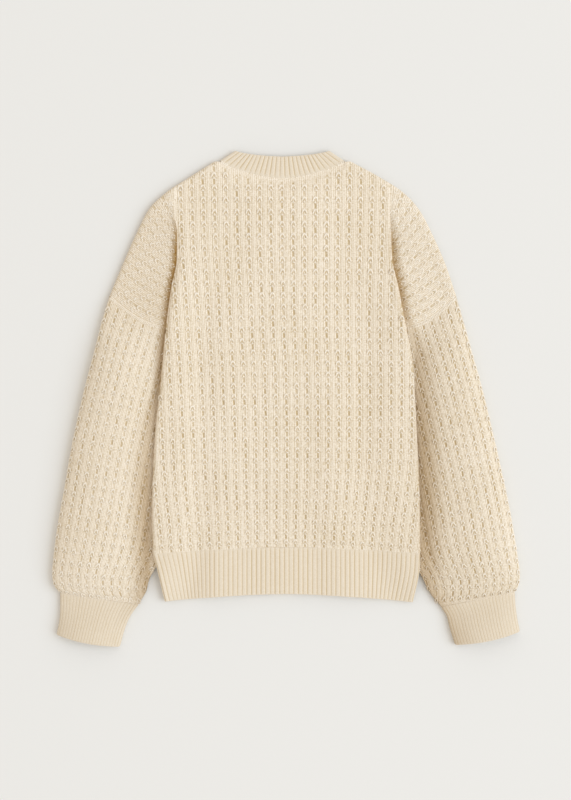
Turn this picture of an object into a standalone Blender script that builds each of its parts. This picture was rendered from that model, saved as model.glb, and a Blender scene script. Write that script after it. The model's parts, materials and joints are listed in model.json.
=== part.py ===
"""A wool cardigan laid flat on a table with its back up. +X is the wearer's right, +Y the neck, +Z up.

Every cloth piece is a closed wall of its own thickness. The two fronts lie on the table, the back lies on
them, and the body's sides lap over the inner folds of the sleeves. Sizes are in millimetres.
"""

from collections import namedtuple
from math import cos, pi, sin

import bmesh
import bpy
import numpy as np

MM = 0.001
KNIT = 4.6  # thickness of the tuck-stitch knit
PRESSED = 3.4  # the same knit in a sleeve, where the body lies on it
RIB = 3.4  # thickness of the ribbing
SEAM = 0.3  # gap between two pieces that are sewn together
SLIT = 0.4  # gap left inside a flattened tube
LAP = 2 * PRESSED + SLIT + SEAM  # what the body's sides rise by, over the sleeves
LAP_SLOPE = 22.0  # width over which a lapping side comes down again
NOSE = 6.0  # radius of the body's fold where it laps over the shoulder
FOLD = 5.0  # how far in from a fold the cloth starts to round over
RIM = 0.8  # what is left of one layer at a fold, where it meets the other
SHIFT = np.array([-1.05, 0.7])  # puts the middle of the whole outline at the origin

UNDERARM = 94.0
CREASE_TOP = 244.0
WALES = 6  # rows of points along each dropped shoulder
MIDDLE = -4.0  # centre line of the neck and of the front bands
NECK_HALF = 84.0
NECK_SIDE_Y = 318.0
BACK_NECK_DROP = 21.5
FRONT_NECK_DROP = 82.0
BAND_HALF = 15.0
BAND_TOP_Y = 264.0

BUTTONS = 6
BUTTON_RADIUS = 9.0
BUTTON_THICKNESS = 2.0
BUTTON_HOLE = 0.9
BUTTON_TOP_Y = 248.0
BUTTON_PITCH = 95.0
RECESS = 2.5  # how deep a button presses into the buttonhole band

# The body's side at each height: the side fold up to the underarm, then the crease over the shoulder.
Sides = namedtuple("Sides", "y left right")
SIDE = [
    Sides(-208, -178, 181.5),
    Sides(-160, -179, 181),
    Sides(-110, -178, 180),
    Sides(-50, -175, 177),
    Sides(0, -170.5, 174.5),
    Sides(50, -166, 171),
    Sides(94, -162, 164),
    Sides(150, -155, 154.5),
    Sides(187, -149, 147),
    Sides(223, -148, 144.5),
    Sides(244, -152, 142),
]

# The outline from the neck to the armhole: the shoulder, then the fold of the dropped shoulder.
OUTLINE = [
    Sides(319, -95, 88),
    Sides(299, -127, 125),
    Sides(277, -162, 159),
    Sides(256, -187, 179),
    Sides(223, -200, 197),
    Sides(180, -219, 216),
    Sides(137, -237, 230.5),
]

# Lines across each sleeve, armhole first: the outer fold, the inner fold, how far the line bows towards
# the cuff, and how much air the tube holds there.
Section = namedtuple("Section", "outer_x outer_y inner_x inner_y bow air")
SLEEVE = {
    "left": [
        Section(-237, 137, -163, 94, 8.5, 0),
        Section(-247, 104, -161, 68, 4, 1.5),
        Section(-258, 61, -156, 36, 0, 3),
        Section(-272, 7, -153, -20, 0, 3.4),
        Section(-286.5, -58, -153, -88, 0, 3.4),
        Section(-298, -122.5, -156, -153, 0, 3.4),
        Section(-309, -187, -165, -208, 0, 3.4),
        Section(-314, -235, -178, -243, 2, 3.2),
        Section(-311, -252, -188, -262, 2, 2),
        Section(-303, -262, -198, -278, 0, 0),
    ],
    "right": [
        Section(230.5, 137, 166, 94, 8.5, 0),
        Section(240, 104, 165, 68, 4, 1.5),
        Section(252, 61, 158, 36, 0, 3),
        Section(267, 7, 155, -20, 0, 3.4),
        Section(282.5, -58, 155, -88, 0, 3.4),
        Section(297, -122.5, 159, -153, 0, 3.4),
        Section(309, -187, 169, -208, 0, 3.4),
        Section(316, -238, 186, -246, 2, 3.2),
        Section(314, -252, 196, -264, 2, 2),
        Section(309, -261, 210, -281, 0, 0),
    ],
}
CUFF = {
    "left": [
        Section(-303, -262, -198, -278, 0, 0.4),
        Section(-303, -286, -209, -294, 0, 0.6),
        Section(-305, -304, -216, -310, 1.5, 0.6),
        Section(-308, -318, -223, -334.5, 3, 0.8),
    ],
    "right": [
        Section(309, -261, 210, -281, 0, 0.4),
        Section(310, -278, 218, -294, 0, 0.6),
        Section(312, -294, 222, -310, 1.5, 0.6),
        Section(316, -314, 229, -332, 3, 0.8),
    ],
}

# The ribbed hem's side folds, from its seam (0) down to its free edge (1).
Hem = namedtuple("Hem", "down left right")
HEM = [Hem(0, -178, 181.5), Hem(0.3, -172.5, 180.5), Hem(1, -162, 171.5)]

# Half of the neckband, from its front end to the middle of the back, measured from the centre line: the
# seam edge, the free edge, and how far it has turned over the shoulder (0 lies front down, 1 back up).
# The panels have a column of points at each of its seam positions.
Neck = namedtuple("Neck", "seam_x free_x free_y turn")
NECKBAND = [
    Neck(15.3, 15.3, 264, 0),
    Neck(28, 24, 265, 0),
    Neck(42, 35, 268, 0),
    Neck(60, 47, 277, 0),
    Neck(73, 56, 292, 0),
    Neck(81, 61, 311, 0),
    Neck(82.5, 62.5, 325, 0.15),
    Neck(82.3, 61.5, 330, 0.5),
    Neck(81.5, 60, 331.5, 0.85),
    Neck(73, 53, 330.5, 1),
    Neck(60, 44, 329, 1),
    Neck(42, 32, 327.5, 1),
    Neck(28, 21, 326.5, 1),
    Neck(0, 0, 325.5, 1),
]

# Distances in from a fold or a side at which a panel has a row of points.
FOLD_STEPS = [0, 0.8, 2.5, 6]
SIDE_STEPS = [0, 0.8, 2.5, 6, 14, 24, 38]
FAR = 99.0  # the distance given to points with no fold or crease near


def through(rows, at):
    """The smooth curve through (position, value) rows, never past them, read at each position."""
    x, y = np.array(sorted(rows), float).T
    grade = np.diff(y) / np.diff(x)
    tilt = np.zeros(len(y))
    product = grade[:-1] * grade[1:]
    steady = product > 0
    tilt[1:-1][steady] = 2 * product[steady] / (grade[:-1] + grade[1:])[steady]
    tilt[0], tilt[-1] = grade[0], grade[-1]
    i = np.clip(np.searchsorted(x, at) - 1, 0, len(grade) - 1)
    run = x[i + 1] - x[i]
    t = np.clip((at - x[i]) / run, 0, 1)
    ends = y[i] * (1 + 2 * t) * (1 - t) ** 2 + y[i + 1] * t**2 * (3 - 2 * t)
    return ends + run * t * (1 - t) * (tilt[i] * (1 - t) - tilt[i + 1] * t)


def resampled(rows, per_row):
    """A table's rows with smooth ones between them, as an array."""
    table = np.array(rows, float)
    at = np.linspace(0, len(table) - 1, (len(table) - 1) * per_row + 1)
    return np.column_stack([through(list(enumerate(column)), at) for column in table.T])


def ease(t):
    t = np.clip(t, 0, 1)
    return t * t * (3 - 2 * t)


def quarter(t):
    """A quarter circle's height: 0 at its foot, 1 from t = 1 on."""
    return np.sqrt(1 - (1 - np.clip(t, 0, 1)) ** 2)


def column_of(table, value, at):
    """A column of a table of Sides or sections, as a smooth curve over another column."""
    return [(getattr(row, at), getattr(row, value)) for row in table]


def side_x(side, y):
    return through(column_of(SIDE, side, "y"), np.minimum(y, CREASE_TOP))


def outline_x(side, y):
    return through(column_of(OUTLINE, side, "y"), y)


def neck_seam_y(x, drop, power):
    across = np.clip(np.abs(x - MIDDLE) / NECK_HALF, 0, 1)
    return NECK_SIDE_Y - drop * (1 - across**power)


def top_y(x, drop, power):
    """The top edge of a panel: the neck seam between the shoulders, and the shoulder outside them."""
    side = "left" if x < MIDDLE else "right"
    if abs(x - MIDDLE) <= NECK_HALF:
        return float(neck_seam_y(x, drop, power))
    return float(through(column_of(OUTLINE, "y", side), x))


def back_top_y(x):
    return top_y(x, BACK_NECK_DROP, 1.8)


def front_top_y(x):
    return top_y(x, FRONT_NECK_DROP, 3)


def hem_seam_y(x):
    return -200.5 - 8 * np.abs((x - 6) / 176) ** 1.5


def hem_edge_y(x):
    return -263.5 - 11 * np.abs(x / 170) ** 1.6


def lift(x, y):
    """How far a layer of the body is raised at its sides, by the sleeve or by the folds over the shoulder."""
    folds = [column_of(SLEEVE[side], "inner_x", "inner_y") for side in ("left", "right")]
    left, right = (through(fold, y) for fold in folds)
    fold = np.where(x < MIDDLE, -left, right)
    crease = np.where(x < MIDDLE, -side_x("left", y), side_x("right", y))
    start = np.where(y < UNDERARM, fold, crease) - 4.5 - LAP_SLOPE
    fade = 1 - ease((y - UNDERARM) / (CREASE_TOP - UNDERARM))
    return LAP * fade * ease((np.abs(x) - start) / LAP_SLOPE)


def climb(x, y, height):
    """What lies over the front bands rises to them from either side, and settles again above the neck."""
    rise = height * (1 - ease((np.abs(x - MIDDLE) - BAND_HALF - 1) / 25))
    return rise * (1 - ease((y - BAND_TOP_Y) / 30))


def back_heights(x, y, fold, crease):
    base = KNIT + SEAM + climb(x, y, 2 * RIB + 2 * SEAM - KNIT)
    bottom = base + lift(x, y) * quarter((crease - 4) / NOSE)
    top = base + KNIT + lift(x, y) * quarter(crease / NOSE)
    return bottom, bottom + RIM + (top - bottom - RIM) * quarter(fold / FOLD)


def front_heights(x, y, fold, crease):
    base = np.where(x < MIDDLE, climb(x, y, 2 * RIB + SEAM - KNIT), 0)
    bottom = base + lift(x, y) * ease((UNDERARM - y) / 12)
    top = base + KNIT + lift(x, y) * quarter((crease - 4) / NOSE)
    return top - RIM - (top - bottom - RIM) * quarter(fold / FOLD), top


def hem_back_heights(x, y, fold, crease):
    bottom = RIB + SEAM + climb(x, y, RIB + SEAM) + lift(x, y)
    return bottom, bottom + RIM + (RIB - RIM) * quarter(fold / FOLD)


def hem_front_heights(x, y, fold, crease):
    top = RIB + np.where(x < MIDDLE, climb(x, y, RIB + SEAM), 0) + lift(x, y)
    return top - RIM - (RIB - RIM) * quarter(fold / FOLD), top


class Sheet:
    """Grids of points that share their edges: each is (x, y, distance from a fold, from the crease).

    Every quad is split along the same diagonal, so that layers with the same points lie on each other.
    """

    def __init__(self):
        self.points, self.faces, self.index = [], [], {}

    def add(self, grid):
        ids = np.empty(grid.shape[:2], int)
        for place in np.ndindex(ids.shape):
            key = tuple(np.round(grid[place][:2], 2))
            if key not in self.index:
                self.index[key] = len(self.points)
                self.points.append(grid[place])
            ids[place] = self.index[key]
        corners = ids[:-1, :-1], ids[:-1, 1:], ids[1:, 1:], ids[1:, :-1]
        for quad in zip(*(corner.ravel().tolist() for corner in corners)):
            a, b, c, d = (self.points[i][:2] for i in quad)
            facing_down = (c[0] - a[0]) * (d[1] - b[1]) < (c[1] - a[1]) * (d[0] - b[0])
            p, q, r, s = quad[::-1] if facing_down else quad
            self.faces += [(p, q, s), (q, r, s)] if facing_down else [(p, q, r), (p, r, s)]

    def wall(self, name, paint, heights):
        """The closed wall between the two heights that the function gives for each point."""
        points = np.array(self.points)
        bottom, top = heights(*points.T)
        count = len(points)
        edges = {(a, b) for face in self.faces for a, b in zip(face, face[1:] + face[:1])}
        rim = [(b, a, a + count, b + count) for a, b in edges if (b, a) not in edges]
        under = [tuple(i + count for i in face[::-1]) for face in self.faces]
        upper = np.column_stack([points[:, :2], top])
        lower = np.column_stack([points[:, :2], bottom])
        return mesh_object(name, paint, np.concatenate([upper, lower]), self.faces + under + sorted(rim))


def mesh_object(name, paint, points, faces):
    """A named object from points in millimetres."""
    placed = np.array(points, float)
    placed[:, :2] += SHIFT
    mesh = bpy.data.meshes.new(name)
    mesh.from_pydata((placed * MM).tolist(), [], faces)
    mesh.shade_smooth()
    mesh.set_sharp_from_angle(angle=0.7)
    mesh.materials.append(paint)
    made = bpy.data.objects.new(name, mesh)
    CARDIGAN.objects.link(made)
    return made


def material(name, colour, roughness):
    paint = bpy.data.materials.new(name)
    paint.use_nodes = True
    shader = paint.node_tree.nodes["Principled BSDF"]
    shader.inputs["Base Color"].default_value = (*colour, 1)
    shader.inputs["Roughness"].default_value = roughness
    shader.inputs["Metallic"].default_value = 0
    return paint


def body_column(x_at, top, on_side):
    """One column of a panel's body: the hem seam to the underarm, up past the crease, and on to the top."""
    ends = [float(hem_seam_y(x_at(-200))) + SEAM / 2, UNDERARM - 12, UNDERARM]
    crease_top = min(CREASE_TOP, top - 30)
    near_top = top - np.array(FOLD_STEPS[:0:-1])
    y = np.concatenate(
        [
            np.linspace(ends[0], ends[1], 11),
            np.linspace(ends[2], crease_top, WALES + 1),
            np.linspace(crease_top, near_top[0], 8)[1:],
            near_top[1:],
            [top],
        ]
    )
    x = np.array([float(x_at(height)) for height in y])
    from_side = np.minimum(x - side_x("left", y), side_x("right", y) - x)
    below = y < UNDERARM
    from_top = top - y if on_side else np.full(len(y), FAR)
    return np.column_stack([x, y, np.where(below, from_side, from_top), np.where(below, FAR, from_side)])


def body_columns(sides, middle, top_at):
    """The columns of a panel's body: close together near each side fold, then at the middle positions."""
    columns = []
    for side, sign in (("left", 1), ("right", -1)):
        if side not in sides:
            continue
        for step in SIDE_STEPS:
            top_x = float(side_x(side, CREASE_TOP)) + sign * step
            x_at = lambda y, side=side, offset=sign * step: side_x(side, y) + offset
            columns.append((top_x, body_column(x_at, top_at(top_x), True)))
    for x in middle:
        columns.append((x, body_column(lambda y, x=x: x, top_at(x), abs(x - MIDDLE) >= NECK_HALF)))
    ordered = sorted(columns, key=lambda column: column[0])
    return np.stack([grid for _, grid in ordered], axis=1)


def wing(side, top_at):
    """The dropped shoulder: a fan of lines from the outline to the crease, the last one at the armhole."""
    share = np.linspace(0, 1, WALES + 1)
    armhole = SLEEVE[side][0]
    top_x = float(side_x(side, CREASE_TOP))
    outer_y = top_at(top_x) + (armhole.outer_y - top_at(top_x)) * share
    inner_y = CREASE_TOP + (UNDERARM - CREASE_TOP) * share
    outer_x = np.where(share == 0, top_x, outline_x(side, outer_y))
    inner_x = side_x(side, inner_y)
    rows = []
    for t, ax, ay, bx, by in zip(share, outer_x, outer_y, inner_x, inner_y):
        length = np.hypot(bx - ax, by - ay)
        along = np.concatenate([FOLD_STEPS[:3], np.linspace(FOLD_STEPS[3], length, 8)]) / length
        bow = armhole.bow * t**3 * 4 * along * (1 - along)
        x, y = ax + (bx - ax) * along, ay + (by - ay) * along - bow
        rows.append(np.column_stack([x, y, along * length, 0 * along]))
    return np.array(rows)


def panel(name, paint, sides, middle, top_at, heights):
    """A back or a front: its body between the sides, and a dropped shoulder at each side it has."""
    sheet = Sheet()
    sheet.add(body_columns(sides, middle, top_at))
    for side in sides:
        sheet.add(wing(side, top_at))
    return sheet.wall(name, paint, heights)


def hem(name, paint, sides, middle, heights):
    """A length of the ribbed hem, sewn to the panel above it."""
    down = np.linspace(0, 1, 5)
    columns = []
    for side, sign in (("left", 1), ("right", -1)):
        if side in sides:
            fold = through(column_of(HEM, side, "down"), down)
            columns += [(fold + sign * step, step) for step in SIDE_STEPS]
    columns += [(np.full(len(down), float(x)), FAR) for x in middle]
    columns.sort(key=lambda column: column[0][0])
    grid = []
    for x, inset in columns:
        seam_y = hem_seam_y(x) - SEAM / 2
        y = seam_y + (hem_edge_y(x) - seam_y) * down
        grid.append(np.column_stack([x, y, np.full(len(down), inset), np.full(len(down), FAR)]))
    sheet = Sheet()
    sheet.add(np.stack(grid, axis=1))
    return sheet.wall(name, paint, heights)


def flat_ring(row, thickness, pressed, squash, inward):
    """One section of a flattened tube, moved inward from its outer surface, as (across, height) points."""
    outer_x, outer_y, inner_x, inner_y, _, air = row
    width = np.hypot(inner_x - outer_x, inner_y - outer_y)
    outer_high = thickness + SLIT / 2
    inner_high = outer_high + (pressed - thickness) * squash
    arc = np.linspace(-pi / 2, pi / 2, 5)
    across = np.linspace(0, 1, 8)[1:-1]
    pressing = ease((across - 0.4) / 0.38)
    middle_high = 2 * (outer_high + (inner_high - outer_high) * pressing)
    middle_high += air * np.sin(pi * np.minimum(across / 0.8, 1)) ** 0.8
    wall = thickness + (pressed - thickness) * squash * pressing
    step = inward * wall
    outer_arc = [(outer_high - (outer_high - inward * thickness) * cos(a),
                  outer_high + (outer_high - inward * thickness) * sin(a)) for a in arc]
    inner_radius = inner_high - inward * (inner_high - SLIT / 2)
    middle = width - inner_high
    inner_arc = [(middle + inner_radius * cos(a), inner_high - inner_radius * sin(a)) for a in arc]
    span = outer_high + (width - outer_high - inner_high) * across
    over = list(zip(span, middle_high - step))
    below = list(zip(span[::-1], step[::-1]))
    return np.array(outer_arc + over + inner_arc + below)


def tube(name, paint, rows, thickness, pressed, start_gap):
    """A flattened tube through its table's sections: an outer and an inner skin, joined at both ends."""
    sections = resampled(rows, 2)
    skins = []
    for inward in (0, 1):
        rings = []
        for i, row in enumerate(sections):
            squash = float(ease(i / 2)) if pressed < thickness else 0
            ring = flat_ring(row, thickness, pressed, squash, inward)
            outer, inner = row[:2], row[2:4]
            width = np.hypot(*(inner - outer))
            share = ring[:, 0] / width
            place = outer + np.outer(share, inner - outer)
            place[:, 1] -= row[4] * 4 * share * (1 - share) + start_gap * (i == 0)
            rings.append(np.column_stack([place, ring[:, 1]]))
        skins.append(np.array(rings))
    count, around = skins[0].shape[:2]
    outside = np.arange(count * around).reshape(count, around)
    inside = outside + count * around
    facing = 1 if rows[0].outer_x < 0 else -1
    faces = []
    for k in range(around):
        n = (k + 1) % around
        for i in range(count - 1):
            faces.append((outside[i, k], outside[i + 1, k], outside[i + 1, n], outside[i, n])[::facing])
            faces.append((inside[i, k], inside[i, n], inside[i + 1, n], inside[i + 1, k])[::facing])
        faces.append((outside[0, k], outside[0, n], inside[0, n], inside[0, k])[::facing])
        faces.append((outside[-1, n], outside[-1, k], inside[-1, k], inside[-1, n])[::facing])
    points = np.concatenate([skin.reshape(-1, 3) for skin in skins])
    return mesh_object(name, paint, points, [tuple(int(i) for i in face) for face in faces])


def neckband(paint):
    """One strip round the neck: down its front ends, over both shoulders and along the back."""
    strip = NECKBAND + NECKBAND[-2::-1]
    mirror = [1] * len(NECKBAND) + [-1] * (len(NECKBAND) - 1)
    low, high = RIB / 2, RIB / 2 + RIB + 0.5
    points = []
    for (seam_x, free_x, free_y, turn), sign in zip(strip, mirror):
        drop, power = (FRONT_NECK_DROP, 3) if turn < 0.5 else (BACK_NECK_DROP, 1.8)
        seam = np.array([MIDDLE + sign * seam_x, neck_seam_y(MIDDLE + seam_x, drop, power)])
        free = np.array([MIDDLE + sign * free_x, free_y])
        along = (free - seam) / np.hypot(*(free - seam))
        seam = seam + along * SEAM
        outward = np.array([along[1], -along[0]]) * sign
        spread = (high - low) / 2
        middle = low + spread * (1 - cos(pi * turn))
        if sign < 0 and turn < 0.5:
            middle += float(climb(seam[0], seam[1], RIB + SEAM))
        for edge, face in ((seam, 1), (free, 1), (free, -1), (seam, -1)):
            out = outward * sin(pi * turn) * (spread + face * RIB / 2)
            points.append([*(edge + out), middle - face * RIB / 2 * cos(pi * turn)])
    faces = []
    for i in range(len(strip) - 1):
        for k in range(4):
            n = (k + 1) % 4
            faces.append((4 * i + k, 4 * i + n, 4 * i + 4 + n, 4 * i + 4 + k))
    last = 4 * (len(strip) - 1)
    faces += [(3, 2, 1, 0), (last, last + 1, last + 2, last + 3)]
    return mesh_object("neckband", paint, points, faces)


def front_band(name, paint, bottom):
    """A ribbed strip down a front's edge, from the neckband's free edge to the hem's."""
    ends = [float(hem_edge_y(MIDDLE)), BAND_TOP_Y]
    sheet = Sheet()
    sheet.add(np.array([[(MIDDLE + side * BAND_HALF, y, FAR, FAR) for side in (-1, 1)] for y in ends]))
    return sheet.wall(name, paint, lambda x, y, fold, crease: (0 * x + bottom, 0 * x + bottom + RIB))


def cylinder(name, radius, bottom, top, place, segments, collection):
    """A cylinder about +Z, in millimetres."""
    mesh = bpy.data.meshes.new(name)
    shape = bmesh.new()
    wide, tall = radius * MM, (top - bottom) * MM
    bmesh.ops.create_cone(shape, cap_ends=True, segments=segments, radius1=wide, radius2=wide, depth=tall)
    shape.to_mesh(mesh)
    shape.free()
    made = bpy.data.objects.new(name, mesh)
    made.location = (*((np.array(place) + SHIFT) * MM), (top + bottom) / 2 * MM)
    collection.objects.link(made)
    return made


def cut(piece, cutter):
    """Takes the cutter's shape out of the piece, and keeps the cutter out of the model."""
    cutter.hide_render = True
    cutter.display_type = "WIRE"
    modifier = piece.modifiers.new(cutter.name, "BOOLEAN")
    modifier.operation = "DIFFERENCE"
    modifier.solver = "EXACT"
    modifier.object = cutter


def buttons(paint, band):
    """Flat four-hole buttons, each pressed into a recess in the buttonhole band's lower face."""
    for i in range(BUTTONS):
        place = (MIDDLE, BUTTON_TOP_Y - i * BUTTON_PITCH)
        low, high = RECESS - SEAM - BUTTON_THICKNESS, RECESS - SEAM
        button = cylinder(f"button_{i + 1}", BUTTON_RADIUS, low, high, place, 28, CARDIGAN)
        button.data.materials.append(paint)
        rounded = button.modifiers.new("rounded rim", "BEVEL")
        rounded.width, rounded.segments = 0.5 * MM, 1
        for k in range(4):
            angle = pi * (k + 0.5) / 2
            hole_place = (place[0] + 1.9 * cos(angle), place[1] + 1.9 * sin(angle))
            hole = cylinder(f"button_{i + 1}_hole_{k + 1}", BUTTON_HOLE, -1, 4, hole_place, 8, CUTTERS)
            cut(button, hole)
        recess = cylinder(f"recess_{i + 1}", BUTTON_RADIUS + SEAM, -1, RECESS, place, 28, CUTTERS)
        cut(band, recess)


for old in list(bpy.data.objects):
    bpy.data.objects.remove(old, do_unlink=True)

CARDIGAN = bpy.data.collections.new("cardigan")
CUTTERS = bpy.data.collections.new("cutters")
bpy.context.scene.collection.children.link(CARDIGAN)
bpy.context.scene.collection.children.link(CUTTERS)


def knit():
    return material("knit", (0.80, 0.68, 0.52), 0.95)


def rib():
    return material("rib", (0.76, 0.64, 0.48), 0.95)


NECK_STEPS = [NECK_HALF, 81, 73, 60, 42, 28, BAND_HALF + SEAM]
LEFT_MIDDLE = [MIDDLE - step for step in NECK_STEPS]
RIGHT_MIDDLE = [MIDDLE + step for step in reversed(NECK_STEPS)]
BACK_MIDDLE = LEFT_MIDDLE + [MIDDLE] + RIGHT_MIDDLE

panel("back", knit(), ("left", "right"), BACK_MIDDLE, back_top_y, back_heights)
panel("front_left", knit(), ("left",), LEFT_MIDDLE, front_top_y, front_heights)
panel("front_right", knit(), ("right",), RIGHT_MIDDLE, front_top_y, front_heights)
hem("hem_back", rib(), ("left", "right"), BACK_MIDDLE, hem_back_heights)
hem("hem_front_left", rib(), ("left",), LEFT_MIDDLE, hem_front_heights)
hem("hem_front_right", rib(), ("right",), RIGHT_MIDDLE, hem_front_heights)
for wearer_side in ("left", "right"):
    tube(f"sleeve_{wearer_side}", knit(), SLEEVE[wearer_side], KNIT, PRESSED, SEAM)
    tube(f"cuff_{wearer_side}", rib(), CUFF[wearer_side], RIB, RIB, SEAM)
neckband(rib())
buttonhole_band = front_band("buttonhole_band", rib(), 0)
front_band("button_band", rib(), RIB + SEAM)
buttons(material("button", (0.55, 0.42, 0.28), 0.4), buttonhole_band)
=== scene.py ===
# %% [markdown]
# # A wool cardigan, laid flat with its back up
#
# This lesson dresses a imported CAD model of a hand-knitted cardigan. The model already holds the true sizes,
# so every piece made here follows the same outlines. What is added is what a knitter would notice: columns
# of tuck stitches with a small hole under each loop, ribbing at the neck, cuffs and hem, linked seams, a
# bulge of air in the sleeves, two soft folds in the back, and buttons on the side that lies on the table.
#
# Lengths are in millimetres until a mesh is made. +X is the wearer's right, +Y the neck, +Z up.

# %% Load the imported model
import json
from collections import namedtuple
from math import cos, pi, radians, sin, tau

import bmesh
import bpy
import numpy as np
from mathutils import Matrix, Vector
from mathutils.geometry import delaunay_2d_cdt

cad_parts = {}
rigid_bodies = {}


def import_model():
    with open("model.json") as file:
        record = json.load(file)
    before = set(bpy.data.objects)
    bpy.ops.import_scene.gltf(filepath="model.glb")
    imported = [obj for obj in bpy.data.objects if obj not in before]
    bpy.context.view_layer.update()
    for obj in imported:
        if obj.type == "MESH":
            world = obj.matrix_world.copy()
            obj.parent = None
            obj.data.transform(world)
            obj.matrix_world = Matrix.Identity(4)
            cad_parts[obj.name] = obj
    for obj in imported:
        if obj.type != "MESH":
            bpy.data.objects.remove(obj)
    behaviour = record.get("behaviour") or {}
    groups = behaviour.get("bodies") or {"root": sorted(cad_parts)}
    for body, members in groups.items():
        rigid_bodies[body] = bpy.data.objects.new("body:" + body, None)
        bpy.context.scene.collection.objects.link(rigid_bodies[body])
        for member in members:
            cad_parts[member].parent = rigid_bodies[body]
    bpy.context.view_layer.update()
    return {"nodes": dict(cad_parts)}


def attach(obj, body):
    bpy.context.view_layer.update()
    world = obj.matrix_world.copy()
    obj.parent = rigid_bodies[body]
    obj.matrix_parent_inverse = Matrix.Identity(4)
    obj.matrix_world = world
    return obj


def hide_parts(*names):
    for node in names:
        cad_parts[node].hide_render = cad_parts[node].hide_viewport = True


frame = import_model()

MM = 0.001
print("nodes:", sorted(frame["nodes"]))

# %% [markdown]
# ## The pattern's sizes
#
# A knitter works from a sheet of measurements. These are the ones that the CAD model was drawn from: how
# thick the cloth is, how the layers lie on each other, and the outlines of the pieces. Only the sleeves
# differ. Here they hold more air, and their inner folds tuck a little farther under the body.

# %% Thicknesses and gaps
KNIT = 4.6  # thickness of the tuck-stitch knit
PRESSED = 3.4  # the same knit where the body lies on a sleeve
RIB = 3.4  # thickness of the ribbing
SEAM = 0.3  # gap between two pieces that are sewn together
JOIN = 0.04  # what is left of that gap where links draw the edges together
SLIT = 0.4  # gap left inside a flattened tube
LAP = 2 * PRESSED + SLIT + SEAM  # what the body's sides rise by, over the sleeves
LAP_SLOPE = 56.0  # width over which a lapping side comes down again
LAP_INSET = 4.5  # how far the slope's top is from the sleeve's fold, towards the middle
NOSE = 6.0  # radius of the body's fold where it laps over the shoulder
FOLD = 4.6  # radius of the body's side folds
FOLD_SPARE = pi / 2 - 1  # how much longer the cloth round a quarter fold is than it looks, in its radii
RIM = 0.3  # thickness of a layer where it comes to an edge
SHIFT = np.array([-1.05, 0.7])  # puts the middle of the whole outline at the origin
FAR = 99.0  # a distance at which an edge has no effect

# %% Where the body's parts begin and end
UNDERARM = 94.0
CREASE_TOP = 244.0
MIDDLE = -4.0  # centre line of the neck and of the front bands
NECK_HALF = 84.0
NECK_SIDE_Y = 318.0
BACK_NECK = (21.5, 1.8)  # how far the neck's seam drops, and its curve's power: a higher one is squarer
FRONT_NECK = (82.0, 3)
BAND_HALF = 15.0
BAND_TOP_Y = 264.0
BAND_SLOPE = 70.0  # width over which the cloth beside the front bands comes down from them
BODY_END_Y = -208.0  # the lower corners of the body
HEM_SEAM_Y = -200.5
HEM_DEPTH = 63.0
NECKBAND_DEPTH = 28.0

# %% [markdown]
# The outlines are short tables. Each row is one height, or one line across a piece, and a smooth curve runs
# through the rows. The curve never swings past a row, so a straight stretch stays straight.

# %% Outlines of the body and the dropped shoulders
Sides = namedtuple("Sides", "y left right")
SIDE = [
    Sides(-208, -178, 181.5),
    Sides(-160, -179, 181),
    Sides(-110, -178, 180),
    Sides(-50, -175, 177),
    Sides(0, -170, 174.5),
    Sides(50, -165, 171),
    Sides(94, -161, 163),
    Sides(150, -153.5, 152.5),
    Sides(187, -146.5, 144.5),
    Sides(223, -146, 142.5),
    Sides(244, -150, 141),
]
OUTLINE = [
    Sides(319, -95, 88),
    Sides(299, -127, 125),
    Sides(277, -160.5, 159),
    Sides(256, -182.5, 179),
    Sides(223, -200, 197),
    Sides(180, -219, 216),
    Sides(137, -237, 230.5),
]
Hem = namedtuple("Hem", "down left right")
HEM = [Hem(0, -178, 181.5), Hem(0.3, -172.5, 180.5), Hem(1, -162, 171.5)]

# %% Lines across each sleeve and cuff, from the armhole down
Section = namedtuple("Section", "outer_x outer_y inner_x inner_y bow air")
SLEEVE = {
    "left": [
        Section(-237, 137, -161, 94, 8.5, 0),
        Section(-247, 104, -158, 68, 4, 1.5),
        Section(-258, 61, -156, 36, 0, 3),
        Section(-272, 7, -153, -20, 0, 3.4),
        Section(-286.5, -58, -153, -88, 0, 3.4),
        Section(-298, -122.5, -156, -153, 0, 3.4),
        Section(-309, -187, -165, -208, 0, 3.2),
        Section(-314, -235, -178, -243, 2, 2.3),
        Section(-311, -252, -188, -262, 2, 1.5),
        Section(-303, -262, -198, -278, 0, 0.9),
    ],
    "right": [
        Section(230.5, 137, 163, 94, 8.5, 0),
        Section(240, 104, 162, 68, 4, 1.5),
        Section(252, 61, 158, 36, 0, 3),
        Section(267, 7, 155, -20, 0, 3.4),
        Section(282.5, -58, 155, -88, 0, 3.4),
        Section(297, -122.5, 159, -153, 0, 3.4),
        Section(309, -187, 169, -208, 0, 3.2),
        Section(316, -238, 186, -246, 2, 2.3),
        Section(314, -252, 196, -264, 2, 1.5),
        Section(309, -261, 210, -281, 0, 0.9),
    ],
}
CUFF = {
    "left": [
        Section(-303, -262, -198, -278, 0, 0.9),
        Section(-303, -286, -209, -294, 0, 0.7),
        Section(-305, -304, -216, -310, 1.5, 0.6),
        Section(-308, -318, -223, -334.5, 3, 0.5),
    ],
    "right": [
        Section(309, -261, 210, -281, 0, 0.9),
        Section(310, -278, 218, -294, 0, 0.7),
        Section(312, -294, 222, -310, 1.5, 0.6),
        Section(316, -314, 229, -332, 3, 0.5),
    ],
}

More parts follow.
